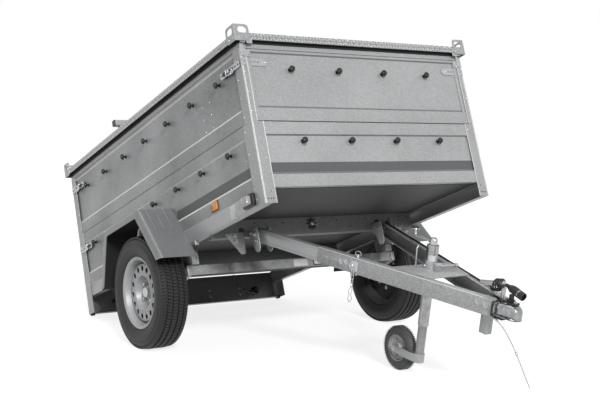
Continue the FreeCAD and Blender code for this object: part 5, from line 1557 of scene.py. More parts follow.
@dataclass
class Fenders:
    """The two bent fenders over the wheels.

    Attributes:
        sheet: thickness.
        edge: radius of the outer edge.
        bend: radius of the bends along the arch.
        foot: height of the lower ends.
        top: height of the flat top.
    """

    sheet: float = 0.003
    edge: float = 0.020
    bend: float = 0.055
    foot: float = -0.071
    top: float = 0.215

    def arch(self) -> list[Point2]:
        """The outer outline along the arch as (along, up) points."""
        corners = [(0.0, SIZE.wheel_y + y, z) for y, z in
                   ((-0.345, self.foot), (-0.160, self.top), (0.240, self.top), (0.380, self.foot))]
        line = bent_route(corners, self.bend, 10)
        points = [line[0]]
        for before, after in zip(line, line[1:]):
            steps = max(1, int((after - before).length / 0.03))
            points += [before.lerp(after, k / steps) for k in range(1, steps + 1)]
        return [(point.y, point.z) for point in points]

    def section(self) -> list[Point2]:
        """Half of the sheet's section, its outside, as (across, depth) points."""
        flat = SIZE.fender_wide - self.edge
        turns = [math.pi / 2 * k / 6 for k in range(1, 7)]
        return ([(flat * k / 6, 0.0) for k in range(7)]
                + [(flat + self.edge * math.sin(turn), self.edge * (1 - math.cos(turn))) for turn in turns]
                + [(SIZE.fender_wide, SIZE.fender_lip)])

    def build(self) -> None:
        """Makes both fenders with their lips and pressed ribs, their inner faces near-black as painted shade."""
        form = Form(BED)
        line, across = self.arch(), self.section()
        flat = SIZE.fender_wide - self.edge
        shell = across + [(x - self.sheet if x > flat else x, depth + (self.sheet if x <= flat + 1e-6 else 0.0))
                          for x, depth in reversed(across)]
        shell[len(across)] = (SIZE.fender_wide - self.sheet, SIZE.fender_lip)
        for side in BOTH:
            part = bmesh.new()
            rings = []
            for k, (y, z) in enumerate(line):
                before, after = Vector(line[max(k - 1, 0)]), Vector(line[min(k + 1, len(line) - 1)])
                ahead = (after - before).normalized()
                rings.append([part.verts.new((side * (SIZE.half_width + x), y + ahead.y * depth,
                                              z - ahead.x * depth)) for x, depth in shell])
            # the inner faces of the shell take finish 1, near-black painted shade
            for k, face in enumerate(skin(part, rings)):
                face.material_index = int(k % len(shell) >= len(across))
            part.faces.new(rings[0])
            part.faces.new(rings[-1][::-1])
            for vert in part.verts:
                vert.co.z = max(vert.co.z, self.foot + 0.0005)
            form.take(part, None, -1)
        form.piece("bent_fenders", "bed", (FENDER_GREY, FENDER_PAINTED_SHADE), ("fenders",), 50)
        ribs = Form(BED)
        for side in BOTH:
            for reach in (0.050, 0.095, 0.140):
                ribs.pipe([(side * (SIZE.half_width + reach), y, z - 0.001) for y, z in line
                           if SIZE.wheel_y - 0.245 < y < SIZE.wheel_y - 0.06], 0.0042)
        ribs.piece("fender_ribs", "bed", (FENDER_GREY,), smooth=60)


# Wheels

@dataclass
class Wheel:
    """A road wheel: tyre, rim, hub and bolts.

    Attributes:
        repeats: what makes bolts and copies.
        pitches: how many tread blocks go round.
        groove: depth of the tread's grooves.
        sipe: width of the cuts between blocks.
        bolt_circle: radius of the circle of the wheel bolts.
    """

    repeats: Repeats
    pitches: int = 108
    groove: float = 0.0075
    sipe: float = 0.0030
    bolt_circle: float = 0.050

    def carcass(self) -> list[Point2]:
        """The tyre's section without its blocks, from bead to bead, and back along its lining."""
        half, base, bead = SIZE.tyre_width / 2, SIZE.tyre_radius - self.groove, SIZE.rim_radius + 0.001
        flank = [(0.0185, bead), (0.0175, SIZE.rim_edge + 0.002), (0.0105, SIZE.rim_edge + 0.007),
                 (0.0100, SIZE.rim_edge + 0.011), *mm((4.5, 200), (0.5, 222), (0.8, 234), (2.2, 236.5), (4, 247),
                                                      (9, 257)), (0.017, base - 0.004), (0.027, base)]
        lining = [(0.030, SIZE.tyre_radius - 0.014), (0.016, 0.222), (0.0225, bead)]
        outside = [(inset - half, radius) for inset, radius in flank]
        inside = [(inset - half, radius) for inset, radius in lining]
        return (outside + [(-x, radius) for x, radius in reversed(outside)]
                + [(-x, radius) for x, radius in reversed(inside)] + inside)

    def block(self, wide: float, long: float, slant: float) -> Form:
        """A tread block about its own origin, Z outward and Y along the tread.

        Args:
            wide: its width.
            long: its length.
            slant: how far its ends are skewed.

        Returns:
            The block.
        """
        form = Form()
        part = bmesh.new()
        rings = []
        for inset, height in ((0.0, -0.001), (0.0, self.groove - 0.0008), (0.0008, self.groove)):
            x, y = wide / 2 - inset, long / 2 - inset
            rings.append([part.verts.new((a * x, b * y + a * slant, height))
                          for a, b in ((-1, -1), (1, -1), (1, 1), (-1, 1))])
        skin(part, rings)
        part.faces.new(rings[-1])
        part.faces.new(rings[0][::-1])
        form.take(part)
        return form

    def tyre(self, word: str, centre: Vector) -> None:
        """The tyre: its carcass, its side rings, and rows of tread blocks.

        Args:
            word: left or right.
            centre: the wheel's centre.
        """
        place = Matrix.Translation(centre)
        form = Form(place)
        form.turned(self.carcass(), 128, ring=True)
        half = SIZE.tyre_width / 2
        for side in BOTH:
            for radius, inset in mm((190, 8.5), (238.5, 1.9), (212.5, 2.4)):
                low, high = side * (half - inset - 0.002), side * (half - inset + 0.0004)
                form.turned([(low, radius - 0.0014), (high, radius - 0.0007), (high, radius + 0.0007),
                             (low, radius + 0.0014)], 96, ring=True)
        form.piece(f"road_tyre_{word}", f"wheel_{word}", (TYRE_RUBBER,), (f"tyre_{word}",), 28)
        long = 2 * math.pi * SIZE.tyre_radius / self.pitches - self.sipe
        # middle of the row, block's width, skew, drop of the row, lean to the side
        for row, (middle, wide, slant, drop, lean) in enumerate((
                (-0.056, 0.020, 0.003, 0.0022, -0.12), (-0.029, 0.020, -0.0025, 0.0, 0.0),
                (0.0, 0.0215, 0.0025, 0.0, 0.0), (0.029, 0.020, -0.0025, 0.0, 0.0),
                (0.056, 0.020, 0.003, 0.0022, 0.12))):
            sites = [Site((middle, y, z), (lean, y / radius, z / radius), (0.0, -z / radius, y / radius))
                     for radius in (SIZE.tyre_radius - self.groove - drop,)
                     for x, y, z in round_spots(self.pitches, radius, 360 * 0.37 * row / self.pitches)]
            self.repeats.copies(f"tread_row_{word}_{row}", f"wheel_{word}", place, sites,
                                self.block(wide, long, slant), TYRE_RUBBER)

    def rim(self, word: str, side: int, centre: Vector) -> None:
        """The pressed rim, its disc with round holes, and the valve, with its inboard side and a ring behind the disc
        near-black as painted shade.

        Args:
            word: left or right.
            side: which way the wheel faces.
            centre: the wheel's centre.
        """
        half, edge, seat = SIZE.rim_width / 2, SIZE.rim_edge, SIZE.rim_radius
        outer = [(-half, edge - 0.002), (-half + 0.0018, edge), (-half + 0.004, edge - 0.001), (-half + 0.005, seat),
                 (-half + 0.022, seat - 0.001), (-0.022, seat - 0.014), (0.012, seat - 0.014),
                 (half - 0.026, seat - 0.003), (half - 0.006, seat), (half - 0.004, edge - 0.001),
                 (half - 0.0018, edge), (half, edge - 0.002)]
        inner = [(half - 0.0012, edge - 0.004), (half - 0.006, seat - 0.004), (half - 0.012, seat - 0.0075),
                 (half - 0.026, seat - 0.0095), (0.016, seat - 0.018), (-0.024, seat - 0.018),
                 (-half + 0.024, seat - 0.005), (-half + 0.004, seat - 0.004), (-half + 0.0012, edge - 0.004)]
        form = Form(Matrix.Translation(centre) @ Matrix.Scale(side, 4, (1, 0, 0)))
        form.turned(outer + inner, 96, ring=True)
        # painted shade: the barrel's inboard half and its inside under the disc take the near-black finish
        for one in form.mesh.faces:
            middle = one.calc_center_median()
            if middle.x < -0.030 or (middle.x < 0.014 and math.hypot(middle.y, middle.z) < seat - 0.0135):
                one.material_index = 2
        # a near-black ring behind the disc, painted shade that darkens its holes
        form.turned([(-0.012, 0.062), (-0.012, seat - 0.0175), (-0.010, seat - 0.0175), (-0.010, 0.062)], 64,
                    ring=True, index=2)
        face = mm((4, 30.2), (4, 36), (0, 41), (0, 58), (1, 66), (8, 72.5), (28, 77.5), (36.5, 81), (40, 87),
                  (38.5, 94), (35, 99), (35, 103), (37, 106), (37, 130), (35, 137), (25, 142.5), (12, 145.5),
                  (12, 146.8))
        back = [(x - 0.0032, r + (0.0012 if 0.065 < r < 0.1 else -0.0006)) for x, r in reversed(face)]
        disc, cutter = Form(), Form()
        disc.turned(face + back, 120, ring=True)
        holes = [(spot, 0.0134, 0.08) for spot in round_spots(15, 0.118, 12)]
        holes += [(spot, 0.0065, 0.02) for spot in round_spots(4, self.bolt_circle, 45)]
        for spot, radius, end in holes:
            cutter.turned([(-0.02, 0), (-0.02, radius), (end, radius), (end, 0)], 24, Matrix.Translation(spot))
        form.add_mesh(carved(disc, cutter))
        form.turned(mm((30, 0), (30, 5.5), (36, 5.5), (40, 3.5), (60, 3.5), (61, 2), (61, 0)), 16,
                    Matrix.Translation(round_spots(1, 0.152, 196)[0]), 1)
        form.piece(f"pressed_rim_{word}", f"wheel_{word}", (RIM_SILVER, BLACK_PLASTIC_AND_PAINTED_SHADE, RIM_PAINTED_SHADE), (f"rim_{word}",), 32)

    def hub(self, word: str, side: int, centre: Vector) -> None:
        """The hub, its grease cap and the wheel bolts.

        Args:
            word: left or right.
            side: which way the wheel faces.
            centre: the wheel's centre.
        """
        form = Form(Matrix.Translation(centre) @ Matrix.Scale(side, 4, (1, 0, 0)))
        form.turned(mm((-58, 14.2), (-58, 46), (-52, 48), (-12, 60), (-4.5, 60), (-4.5, 29.6), (10, 29.6),
                       (10, 14.2)), ring=True, index=1)
        form.turned(mm((6, 0), (6, 28.5), (16, 28.5), (17, 26.2), (26, 25.5), (29.5, 21), (29.8, 12), (29.2, 0)), 40)
        for spot in round_spots(4, self.bolt_circle, 45):
            form.turned(mm((-10, 0), (-10, 6), (1, 6), (1.5, 12), (6, 11.5), (6.5, 9.5), (18, 9), (19, 7.5), (19, 0)),
                        6, Matrix.Translation(spot))
        form.piece(f"wheel_hub_{word}", f"wheel_{word}", (ZINC, GALVANISED), (f"hub_{word}",), 30)
        sites = [Site((-side * 0.012, y, z), (-side, 0, 0)) for x, y, z in round_spots(8, 0.085)]
        self.repeats.bolts(f"inner_nuts_{word}", f"wheel_{word}", Matrix.Translation(centre), sites, 0.0075, 0.006)

    def build(self) -> None:
        """Makes both wheels."""
        for word, side in SIDES:
            centre = joint_place(f"wheel_{word}_spin")
            self.tyre(word, centre)
            self.rim(word, side, centre)
            self.hub(word, side, centre)


# Camera, light and floor

@dataclass(frozen=True)
class Lamp:
    """A broad, even lamp: where its light comes from, its apparent width in degrees and its strength."""

    name: str
    source: Point3
    spread: float
    strength: float

    def build(self) -> None:
        """Puts the lamp into the scene."""
        data = bpy.data.lights.new(self.name, "SUN")
        data.angle = math.radians(self.spread)
        data.energy = self.strength
        item = placed(self.name, data)
        item.rotation_euler = (-Vector(self.source)).to_track_quat("-Z", "Y").to_euler()


@dataclass
class Studio:
    """The camera, the lamps, the floor and the world.

    Attributes:
        lens: focal length in millimetres.
        back: the camera's place from the tipping hinge.
        right: the picture's right.
        ahead: where the camera looks.
        ambient: the world's light on the trailer.
        floor_tone: the floor's own colour.
        floor_glow: what makes the floor look white.
        reach: half the floor's width.
        lamps: the broad lamps.
    """

    lens: float = 64.66
    back: Point3 = (-3.0422, -4.30618, 0.48535)
    right: Point3 = (0.8304, -0.5571, 0.0095)
    ahead: Point3 = (0.5565, 0.8284, -0.0636)
    ambient: float = 0.32
    floor_tone: float = 0.42
    floor_glow: float = 0.80
    reach: float = 40.0
    lamps: tuple[Lamp, ...] = (
        Lamp("key", (-0.27, -0.85, 0.50), 10.0, 2.0), Lamp("fill", (-0.9, -0.2, 0.35), 40.0, 0.10),
        Lamp("top", (-0.1, 0.25, 1.0), 40.0, 0.5))

    def camera(self) -> None:
        """Places the camera as the photograph's."""
        data = bpy.data.cameras.new("camera")
        data.lens = self.lens
        data.sensor_width = 36.0
        item = placed("camera", data)
        across, look = Vector(self.right).normalized(), Vector(self.ahead).normalized()
        turn = Matrix((across, across.cross(look), -look)).transposed().to_4x4()
        item.matrix_world = Matrix.Translation(HINGE + Vector(self.back)) @ turn
        bpy.context.scene.camera = item

    def seen(self, tree: bpy.types.NodeTree) -> bpy.types.NodeSocket:
        """A value of 1 for rays that show the background, and 0 for those that light the trailer.

        Args:
            tree: the material's or the world's node tree.

        Returns:
            The value's socket.
        """
        path = add_node(tree, "ShaderNodeLightPath").outputs
        both = path["Is Camera Ray"]
        for ray in ("Is Glossy Ray", "Is Transmission Ray"):
            both = add_node(tree, "ShaderNodeMath", {0: both, 1: path[ray]}, operation="MAXIMUM").outputs["Value"]
        return both

    def surroundings(self) -> None:
        """The pale floor and the world, both white where they are seen."""
        world = bpy.data.worlds.new("studio")
        bpy.context.scene.world = world
        world.use_nodes = True
        tree = world.node_tree
        light = tree.nodes["Background"]
        light.inputs["Color"].default_value = (1, 1, 1, 1)
        level = add_node(tree, "ShaderNodeMapRange", {"To Min": self.ambient, "To Max": 1.0, "Value": self.seen(tree)})
        tree.links.new(level.outputs["Result"], light.inputs["Strength"])
        data = bpy.data.meshes.new("floor")
        corners = rect((-self.reach, -self.reach), (self.reach, self.reach))
        data.from_pydata([(x, y, 0) for x, y in corners], [], [(0, 1, 2, 3)])
        pale = bpy.data.materials.new("pale_floor")
        pale.use_nodes = True
        tree = pale.node_tree
        shader = tree.nodes["Principled BSDF"]
        for title, value in (("Base Color", (self.floor_tone, self.floor_tone, self.floor_tone, 1)),
                             ("Roughness", 1.0), ("Specular IOR Level", 0.0), ("Emission Color", (1, 1, 1, 1))):
            shader.inputs[title].default_value = value
        gain = add_node(tree, "ShaderNodeMath", {0: self.seen(tree), 1: self.floor_glow}, operation="MULTIPLY")
        tree.links.new(gain.outputs["Value"], shader.inputs["Emission Strength"])
        data.materials.append(pale)
        placed("floor", data)

    def build(self) -> None:
        """Sets up the whole studio."""
        bpy.context.scene.view_settings.view_transform = "Standard"
        self.camera()
        for lamp in self.lamps:
            lamp.build()
        self.surroundings()


# Solids that keep their shape

def dress(node: bpy.types.Object, finish: Finish) -> None:
    """Gives a solid its finish.

    Args:
        node: the solid.
        finish: its finish.
    """
    if not node.material_slots:
        node.data.materials.append(finish.material())
    for one in node.material_slots:
        one.material = finish.material()


def softened(node: str, body: str, finish: Finish, edge: float) -> None:
    """Stands a copy with rounded edges in for a solid.

    Args:
        node: the solid.
        body: the body that it rides on.
        finish: its finish.
        edge: the rounding of its edges.
    """
    part = bmesh.new()
    part.from_mesh(frame["nodes"][node].data)
    bmesh.ops.remove_doubles(part, verts=part.verts, dist=1e-5)
    bmesh.ops.dissolve_limit(part, angle_limit=math.radians(0.5), verts=part.verts, edges=part.edges)
    round_edges(part, edge, 5 * edge)
    form = Form()
    form.take(part)
    form.piece(f"{node}_rounded", body, (finish,), (node,))


PLAIN_NODES = (("floor_panel", FLOOR_BOARD), ("hinge_pins", ZINC))
# the cross beams and the lamp board take a darker zinc as painted shade
SOFT_NODES = (
    # solid, body, finish, rounding of its edges
    ("side_rails", "bed", GALVANISED, 0.0020), ("cross_beams", "bed", UNDERSIDE_PAINTED_SHADE, 0.0015),
    ("rear_lamp_board", "bed", UNDERSIDE_PAINTED_SHADE, 0.0010), ("axle_beam", "bed", AXLE_ZINC, 0.0030),
    ("trailing_arms", "bed", GALVANISED, 0.0020), ("drawbar_arms_rear", "drawbar", GALVANISED, 0.0013),
    ("drawbar_arms_front", "drawbar", ARM_ZINC, 0.0013), ("jockey_plate", "drawbar", ARM_ZINC, 0.0012),
    ("support_leg", "drawbar", GALVANISED, 0.0015), ("jockey_fork", "jockey_fork", GALVANISED, 0.0010),
    ("jockey_leg", "jockey_leg", LEG_ZINC, 0.0006), ("lid_hinge_arms", "bed", ZINC, 0.0008),
    ("jockey_clamp", "drawbar", ZINC, 0.0008))


# The drawbar: coupling, cords, jockey wheel

@dataclass(frozen=True)
class Cord:
    """A cord along a smooth line.

    Attributes:
        name: the cord's name.
        node: the solid that it stands for.
        body: the body that it rides on.
        place: the frame of its route.
        route: its control points in millimetres.
        length: its length.
        far_end: what is at its far end; not used.
        lay: how it lies; not used.
        radius: its radius.
        finish: its finish.
    """

    name: str
    node: str
    body: str
    place: Matrix
    route: Sequence[Point3]
    length: float
    far_end: str
    lay: str = "loose"
    radius: float = 0.004
    finish: Finish = CABLE_BLACK

    def build(self, pieces: Sequence[bpy.types.Object] = ()) -> None:
        """Makes the cord.

        Args:
            pieces: what moves with the cord's far end; not used.
        """
        curve = bpy.data.curves.new(self.name, "CURVE")
        curve.dimensions = "3D"
        curve.bevel_depth = self.radius
        curve.bevel_resolution = 4
        curve.resolution_u = 6
        curve.use_fill_caps = True
        points = [self.place @ (Vector(spot) * MM) for spot in self.route]
        spline = curve.splines.new("NURBS")
        spline.points.add(len(points) - 1)
        for point, spot in zip(spline.points, points):
            point.co = (*spot, 1)
        spline.order_u = 3
        spline.use_endpoint_u = True
        curve.materials.append(self.finish.material())
        item = placed(self.name, curve)
        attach(item, self.body)
        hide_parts(self.node)
        log.info("%s: %.3f m", self.name, self.length)


@dataclass
class Coupling:
    """The ball coupling with its handle, plug, holder and cables.

    Attributes:
        repeats: what makes the bolts.
        coil_radius: radius of the cable's coil, in millimetres as what follows.
        coil_turns: how many turns it has.
        coil_rear: where it starts along the drawbar.
        coil_step: how far it goes on between its points.
        rise: height of the cable over the rear halves of the arms.
        lift: how much higher the front halves are.
        handle_rear: the handle's rear end.
        handle_tilt: the handle's tilt.
        plug_tilt: the plug's tilt.
    """

    repeats: Repeats
    coil_radius: float = 25.0
    coil_turns: int = 3
    coil_rear: float = -1188.0
    coil_step: float = 1.6
    rise: float = 29.2
    lift: float = 3.5
    handle_rear: Point3 = (0.0, -1112.0, 63.0)
    handle_tilt: float = math.radians(13.5)
    plug_tilt: float = math.radians(12.5)

    def coil(self) -> list[Point3]:
        """The points of the cable's coil around the handle, in millimetres."""
        points = []
        for k in range(8 * self.coil_turns + 1):
            turn = math.radians(200 + 45 * k)
            along = self.coil_rear - self.coil_step * k
            middle = self.handle_rear[2] + (self.handle_rear[1] - along) * math.tan(self.handle_tilt) - 6
            points.append((self.coil_radius * math.cos(turn), along, middle + self.coil_radius * math.sin(turn)))
        return points

    def cords(self, plug: bpy.types.Object) -> None:
        """The cables and the breakaway wire, the plug at the long cable's end.

        Args:
            plug: the plug at the long cable's end.
        """
        rise, high = self.rise, self.rise + self.lift
        Cord("cable_to_plug", "arm_cable", "drawbar", DRAWBAR, [
            (366, -10, rise + 3), (363, -36, rise), (352, -74, rise), (289, -300, rise), (276, -345, high),
            (72, -1085, high), (50, -1135, rise + 14), (6, -1168, 44), *self.coil(),
            (-20, -1236, 80), (-14, -1247, 91), (0, -1253, 92.2), (0, -1261.6, 90.1)], 1.742, "plug").build([plug])
        Cord("cable_to_clamp", "arm_cable", "drawbar", DRAWBAR, [
            (-11, -1244, 25), (-42, -1244, 28), (-55, -1244, 14), (-55, -1244, -24), (-42, -1244, -40),
            (-28.5, -1244, -39)], 0.119, "object").build()
        Cord("beam_cable", "feed_cable", "bed", BED, [
            (441, 576, 3.3), (441, 546, 3.5), (431, 524, 14), (410, 507, 22.5), (394, 494, 18), (390, 482, 10)],
            0.119, "object").build()
        Cord("sheathed_wire", "breakaway_wire", "drawbar", DRAWBAR, [
            (-31, -1234, -44), (-31, -1262, -53), (-31, -1303, -72), (-31, -1346, -109), (-31, -1380, -141),
            (-31, -1422, -190), (-31, -1450, -222), (-31, -1477, -251)], 0.324, "bare", "hanging", 0.0025,
            WIRE_SHEATH).build()

    def plug(self) -> bpy.types.Object:
        """The lighting plug in its holder, with its collar, ribs and cable gland."""
        root = DRAWBAR @ Matrix.Translation((0, -1.262, 0.090)) @ Matrix.Rotation(self.plug_tilt, 4, "X")
        along = root @ aimed((0, 0, 0), (0, -1, 0))
        form = Form()
        profile = mm((0, 0), (0, 8.5), (6, 9.5), (10, 12), (14, 12.2), (16, 14.2))
        for k in range(5):
            start = 18 + 5.5 * k
            profile += mm((start, 15), (start + 1.2, 15.8), (start + 3.8, 15.8), (start + 5, 15))
        profile += mm((50, 15.2), (52, 16.8), (62, 16.8), (63, 15.8), (65.5, 15.8), (66.5, 17), (88, 17), (89.5, 16),
                      (89.5, 12.5), (80, 12), (80, 0))
        form.turned(profile, 40, along)
        form.turned(mm((63, 15), (63, 16.3), (65.7, 16.3), (65.7, 15)), 40, along, 1, True)
        form.turned(mm((-10, 4.4), (-12, 6.6), (-1, 8.4), (1, 8.4), (1, 4.4)), 24, along, ring=True)
        form.block(*mm((-7, -58, 15.5), (7, -28, 16.8)), matrix=root)
        return form.piece("lighting_plug", "drawbar", (BLACK_PLASTIC_AND_PAINTED_SHADE, ZINC), ("plug",))

    def head(self) -> None:
        """The pressed coupling head: its shank, dome, rim and cup."""
        shell, cup, form = Form(), Form(), Form(DRAWBAR)
        part = bmesh.new()
        low = -0.0318
        rings = []
        for y, half, high, soft in mm(
            # along, half width, height of its top, rounding
            (-1146, 67.2, 18, 4), (-1228, 44.7, 18, 4), (-1238, 39, 18.5, 9), (-1252, 35.2, 20, 13),
            (-1272, 32.5, 22.5, 16), (-1290, 31.2, 25.5, 19), (-1304, 30.8, 27.5, 22), (-1316, 30, 27, 22),
            (-1327, 27.6, 23.5, 20), (-1336, 23, 16.5, 17), (-1342.5, 16, 6, 12), (-1346, 7, -8, 6),
        ):
            outline = rect((-half, low), (half, high), min(soft, 0.48 * (high - low), 0.94 * half), 6)
            rings.append([part.verts.new((x, y, z)) for x, z in outline])
        skin(part, rings)
        part.faces.new(rings[0])
        part.faces.new(rings[-1][::-1])
        shell.take(part)
        cup.turned(mm((-50, 0), (-50, 25.2), (-6, 24.2), (6, 20), (14, 12), (17, 0)), 40,
                   aimed((0, SIZE.coupler_y, 0), UP))
        form.add_mesh(carved(shell, cup))
        shank = mm((44, -1236), (38.5, -1262), (35, -1290))
        nose = [(0.034 * math.cos(math.radians(a)), -1.3135 + 0.033 * math.sin(math.radians(a)))
                for a in range(180, 361, 12)]
        flange = [(-x, y) for x, y in shank] + nose + shank[::-1]
        form.plate([flange, circle(0.0254, (0.0, SIZE.coupler_y), 40)], 0.003, Matrix.Translation((0, 0, -0.0304)),
                   0.0008)
        form.piece("coupling_head", "drawbar", (CAST_ZINC,), ("coupler",), 40)

    def fittings(self) -> None:
        """The handle, the plug's holder, the wire clamp and the crimps."""
        form = Form(DRAWBAR)
        tube = aimed(mm(self.handle_rear)[0], (0, -math.cos(self.handle_tilt), math.sin(self.handle_tilt)))
        form.turned(mm((0, 0), (0, 8.5), (0.6, 11), (128.5, 11), (130, 9.5), (130, 0)), 28, tube)
        form.turned(mm((2, 10.9), (2, 11.6), (12, 11.6), (12, 10.9)), 28, tube, ring=True)
        form.prism(fillet(mm((-1248, 18), (-1230, 18), (-1230, 84), (-1248, 104)), 0.004), -0.006, 0.006, "X", 0.0012)
        form.piece("handle_tube", "drawbar", (ZINC,), ("coupler_handle",))
        form = Form(DRAWBAR)
        # half width, front, rear, rounding, its steps, lower end, upper end, softness
        for half, front, rear, radius, steps, low, high, soft in (
                (0.020, -1.322, -1.258, 0.009, 5, 0.0275, 0.0350, 0.0014),
                (0.0125, -1.302, -1.272, 0.006, 4, 0.0345, 0.0440, 0.0016),
                (0.008, -1.296, -1.278, 0.004, 4, 0.040, 0.0640, 0.0012),
                (0.028, -1.276, -1.232, 0.006, 4, -0.046, -0.0322, 0.0016)):
            form.prism(rect((-half, front), (half, rear), radius, steps), low, high, "Z", soft)
        form.block(*mm((-33, -1262, -43.5), (-27, -1246, -34.5)), 0.0012)
        form.piece("plug_holder", "drawbar", (BLACK_PLASTIC_AND_PAINTED_SHADE,), ("holder_and_clamp",))
        crimps = Form(DRAWBAR)
        for start, end in (mm((-31, -1240, -45.5), (-31, -1262, -53)), mm((-31, -1379, -140), (-31, -1389, -151))):
            run = Vector(end) - Vector(start)
            crimps.turned([(0, 0), (0, 0.0044), (0.001, 0.005), (run.length - 0.001, 0.005), (run.length, 0.0044),
                           (run.length, 0)], 16, aimed(start, run))
        crimps.piece("wire_crimps", "drawbar", (ZINC,))
        sites = [Site((side * half, y, z), (side, -0.12, 0.22)) for side in BOTH
                 for half, y, z in mm((33.8, -1261, 6), (30.8, -1290, 4))]
        sites.append(Site((0.0, -1.310, 0.0352), UP))
        self.repeats.bolts("coupling_bolts", "drawbar", DRAWBAR, sites, 0.007, 0.005)

    def build(self) -> None:
        """Makes the coupling and its cables."""
        self.cords(self.plug())
        self.head()
        self.fittings()


@dataclass
class Drawbar:
    """What is fastened to the drawbar's arms: bolts, joint pins, clips and the chain.

    Attributes:
        repeats: what makes bolts and links.
        grow: how far the front halves' webs stand outside the rear ones'.
        joint: how far along the arm its joint pin is.
        link: length of a chain link.
        link_wide: width of a chain link.
        overlap: how much a link takes of the next one's length.
    """

    repeats: Repeats
    grow: float = 0.0033
    joint: float = 0.585
    link: float = 0.022
    link_wide: float = 0.013
    overlap: float = 0.0052

    @property
    def top(self) -> float:
        """Upper side of the front halves."""
        return SIZE.arm_high / 2 - SIZE.arm_drop + self.grow

    def bolts(self) -> None:
        """Nuts along the webs and at the joints, and black dots as painted shade for the rows of small holes."""
        for word, side in SIDES:
            arm = arm_frame(side)
            sites = [Site((side * self.grow, -along, z), (side, 0, 0)) for along, z in
                     mm((508, -4), (538, 0), (566, -12), (1212, 4), (1250, 0))]
            self.repeats.bolts(f"arm_bolts_{word}", "drawbar", arm, sites, 0.0085, 0.006)
            sites = [Site((-side * 0.016, -along, -SIZE.arm_high / 2 - SIZE.arm_drop - self.grow), (0, 0, -1))
                     for along in (0.52, 0.56)]
            self.repeats.bolts(f"arm_nuts_{word}", "drawbar", arm, sites, 0.0065, 0.005)
            # black dots as painted shade for the rows of small holes
            sites = [Site((0.0, -0.075 - 0.0098 * k, z - SIZE.arm_drop), (side, 0, 0))
                     for k in range(30) for z in (0.021, -0.021)]
            sites.append(Site((side * self.grow, -0.625, 0.002), (side, 0, 0)))
            self.repeats.rivets(f"arm_holes_{word}", "drawbar", arm, sites, 0.0017, 0.0004, BLACK_PLASTIC_AND_PAINTED_SHADE)

    def edges(self) -> None:
        """Painted highlight strips along the upper edges of the front halves."""
        for word, side in SIDES:
            form = Form(arm_frame(side))
            form.block((side * (self.grow - 0.0026), -1.235, self.top - 0.0024),
                       (side * (self.grow + 0.0003), -0.374, self.top + 0.0003))
            form.piece(f"arm_edge_{word}", "drawbar", (FOLD_PAINTED_HIGHLIGHT,))

    def clips(self) -> None:
        """The joint pins with their spring clips."""
        top = self.top
        for word, side in SIDES:
            form = Form(arm_frame(side))
            x, y = -side * 0.014, -self.joint
            pin = aimed((x, y, top), UP)
            form.turned(mm((-80, 0), (-80, 5.5), (12, 5.5), (14.5, 4), (14.5, 0)), 20, pin)
            form.turned(mm((0, 5.5), (0, 11), (2.2, 11), (2.2, 5.5)), 24, pin, ring=True)
            form.pipe([(x, y + across * 0.016, top + 0.018 + up * 0.0105) for across, up in circle(1, steps=20)],
                      0.0018, sides=8, loop=True)
            form.pipe([(x - side * 0.012, y + 0.010, top + 0.0085), (x, y, top + 0.0075),
                       (x + side * 0.022, y - 0.012, top + 0.0085)], 0.0018, 0.02, 8)
            form.plate([rect((-0.018, -0.026), (0.020, 0.022), 0.006)], 0.003,
                       basis((side * (self.grow + 0.0015), y, -0.006), (0, side, 0), UP))
            form.plate([slot(0.064, 0.009, (0, 0), 5), slot(0.052, 0.005, (0, 0), 5)], 0.0016,
                       basis((side * (self.grow + 0.0008), -0.452, -0.004), (0, side, 0), UP), 0.0003)
            form.piece(f"joint_clip_{word}", "drawbar", (ZINC,))

    def chain(self) -> None:
        """The chain that hangs from the left joint."""
        half = self.link_wide / 2
        turns = [math.pi * k / 6 for k in range(7)]
        line = [(end * half * math.cos(turn), end * (self.link / 2 - half + half * math.sin(turn)), 0)
                for end in (1, -1) for turn in turns]
        top = Vector((-SIZE.hinge_half + self.joint * math.sin(SIZE.arm_turn) - 0.008,
                      -self.joint * math.cos(SIZE.arm_turn), -0.024))
        lean = Vector((0.0, 0.02, -1.0)).normalized()
        step = self.link - self.overlap
        sites = [Site(tuple(top + lean * (k * step)), (1.0, 0.0, 0.0) if k % 2 else (0.0, 1.0, 0.0), tuple(lean))
                 for k in range(5)]
        self.repeats.copies("joint_chain", "drawbar", DRAWBAR, sites,
                            Form().pipe(line, 0.0016, sides=6, loop=True), ZINC)
        clip = Form(DRAWBAR)
        foot = top + lean * (5 * step - 0.004)
        for side in BOTH:
            clip.pipe([foot + Vector((side * x, y, z)) for x, y, z in
                       mm((3, 0, 0), (10, 2, -16), (4, 3, -34), (11, 0, -52), (2, 0, -68))], 0.0019, 0.006, 8)
        clip.piece("hanging_clip", "drawbar", (ZINC,))

    def build(self) -> None:
        """Makes everything on the arms."""
        self.bolts()
        self.edges()
        self.clips()
        self.chain()


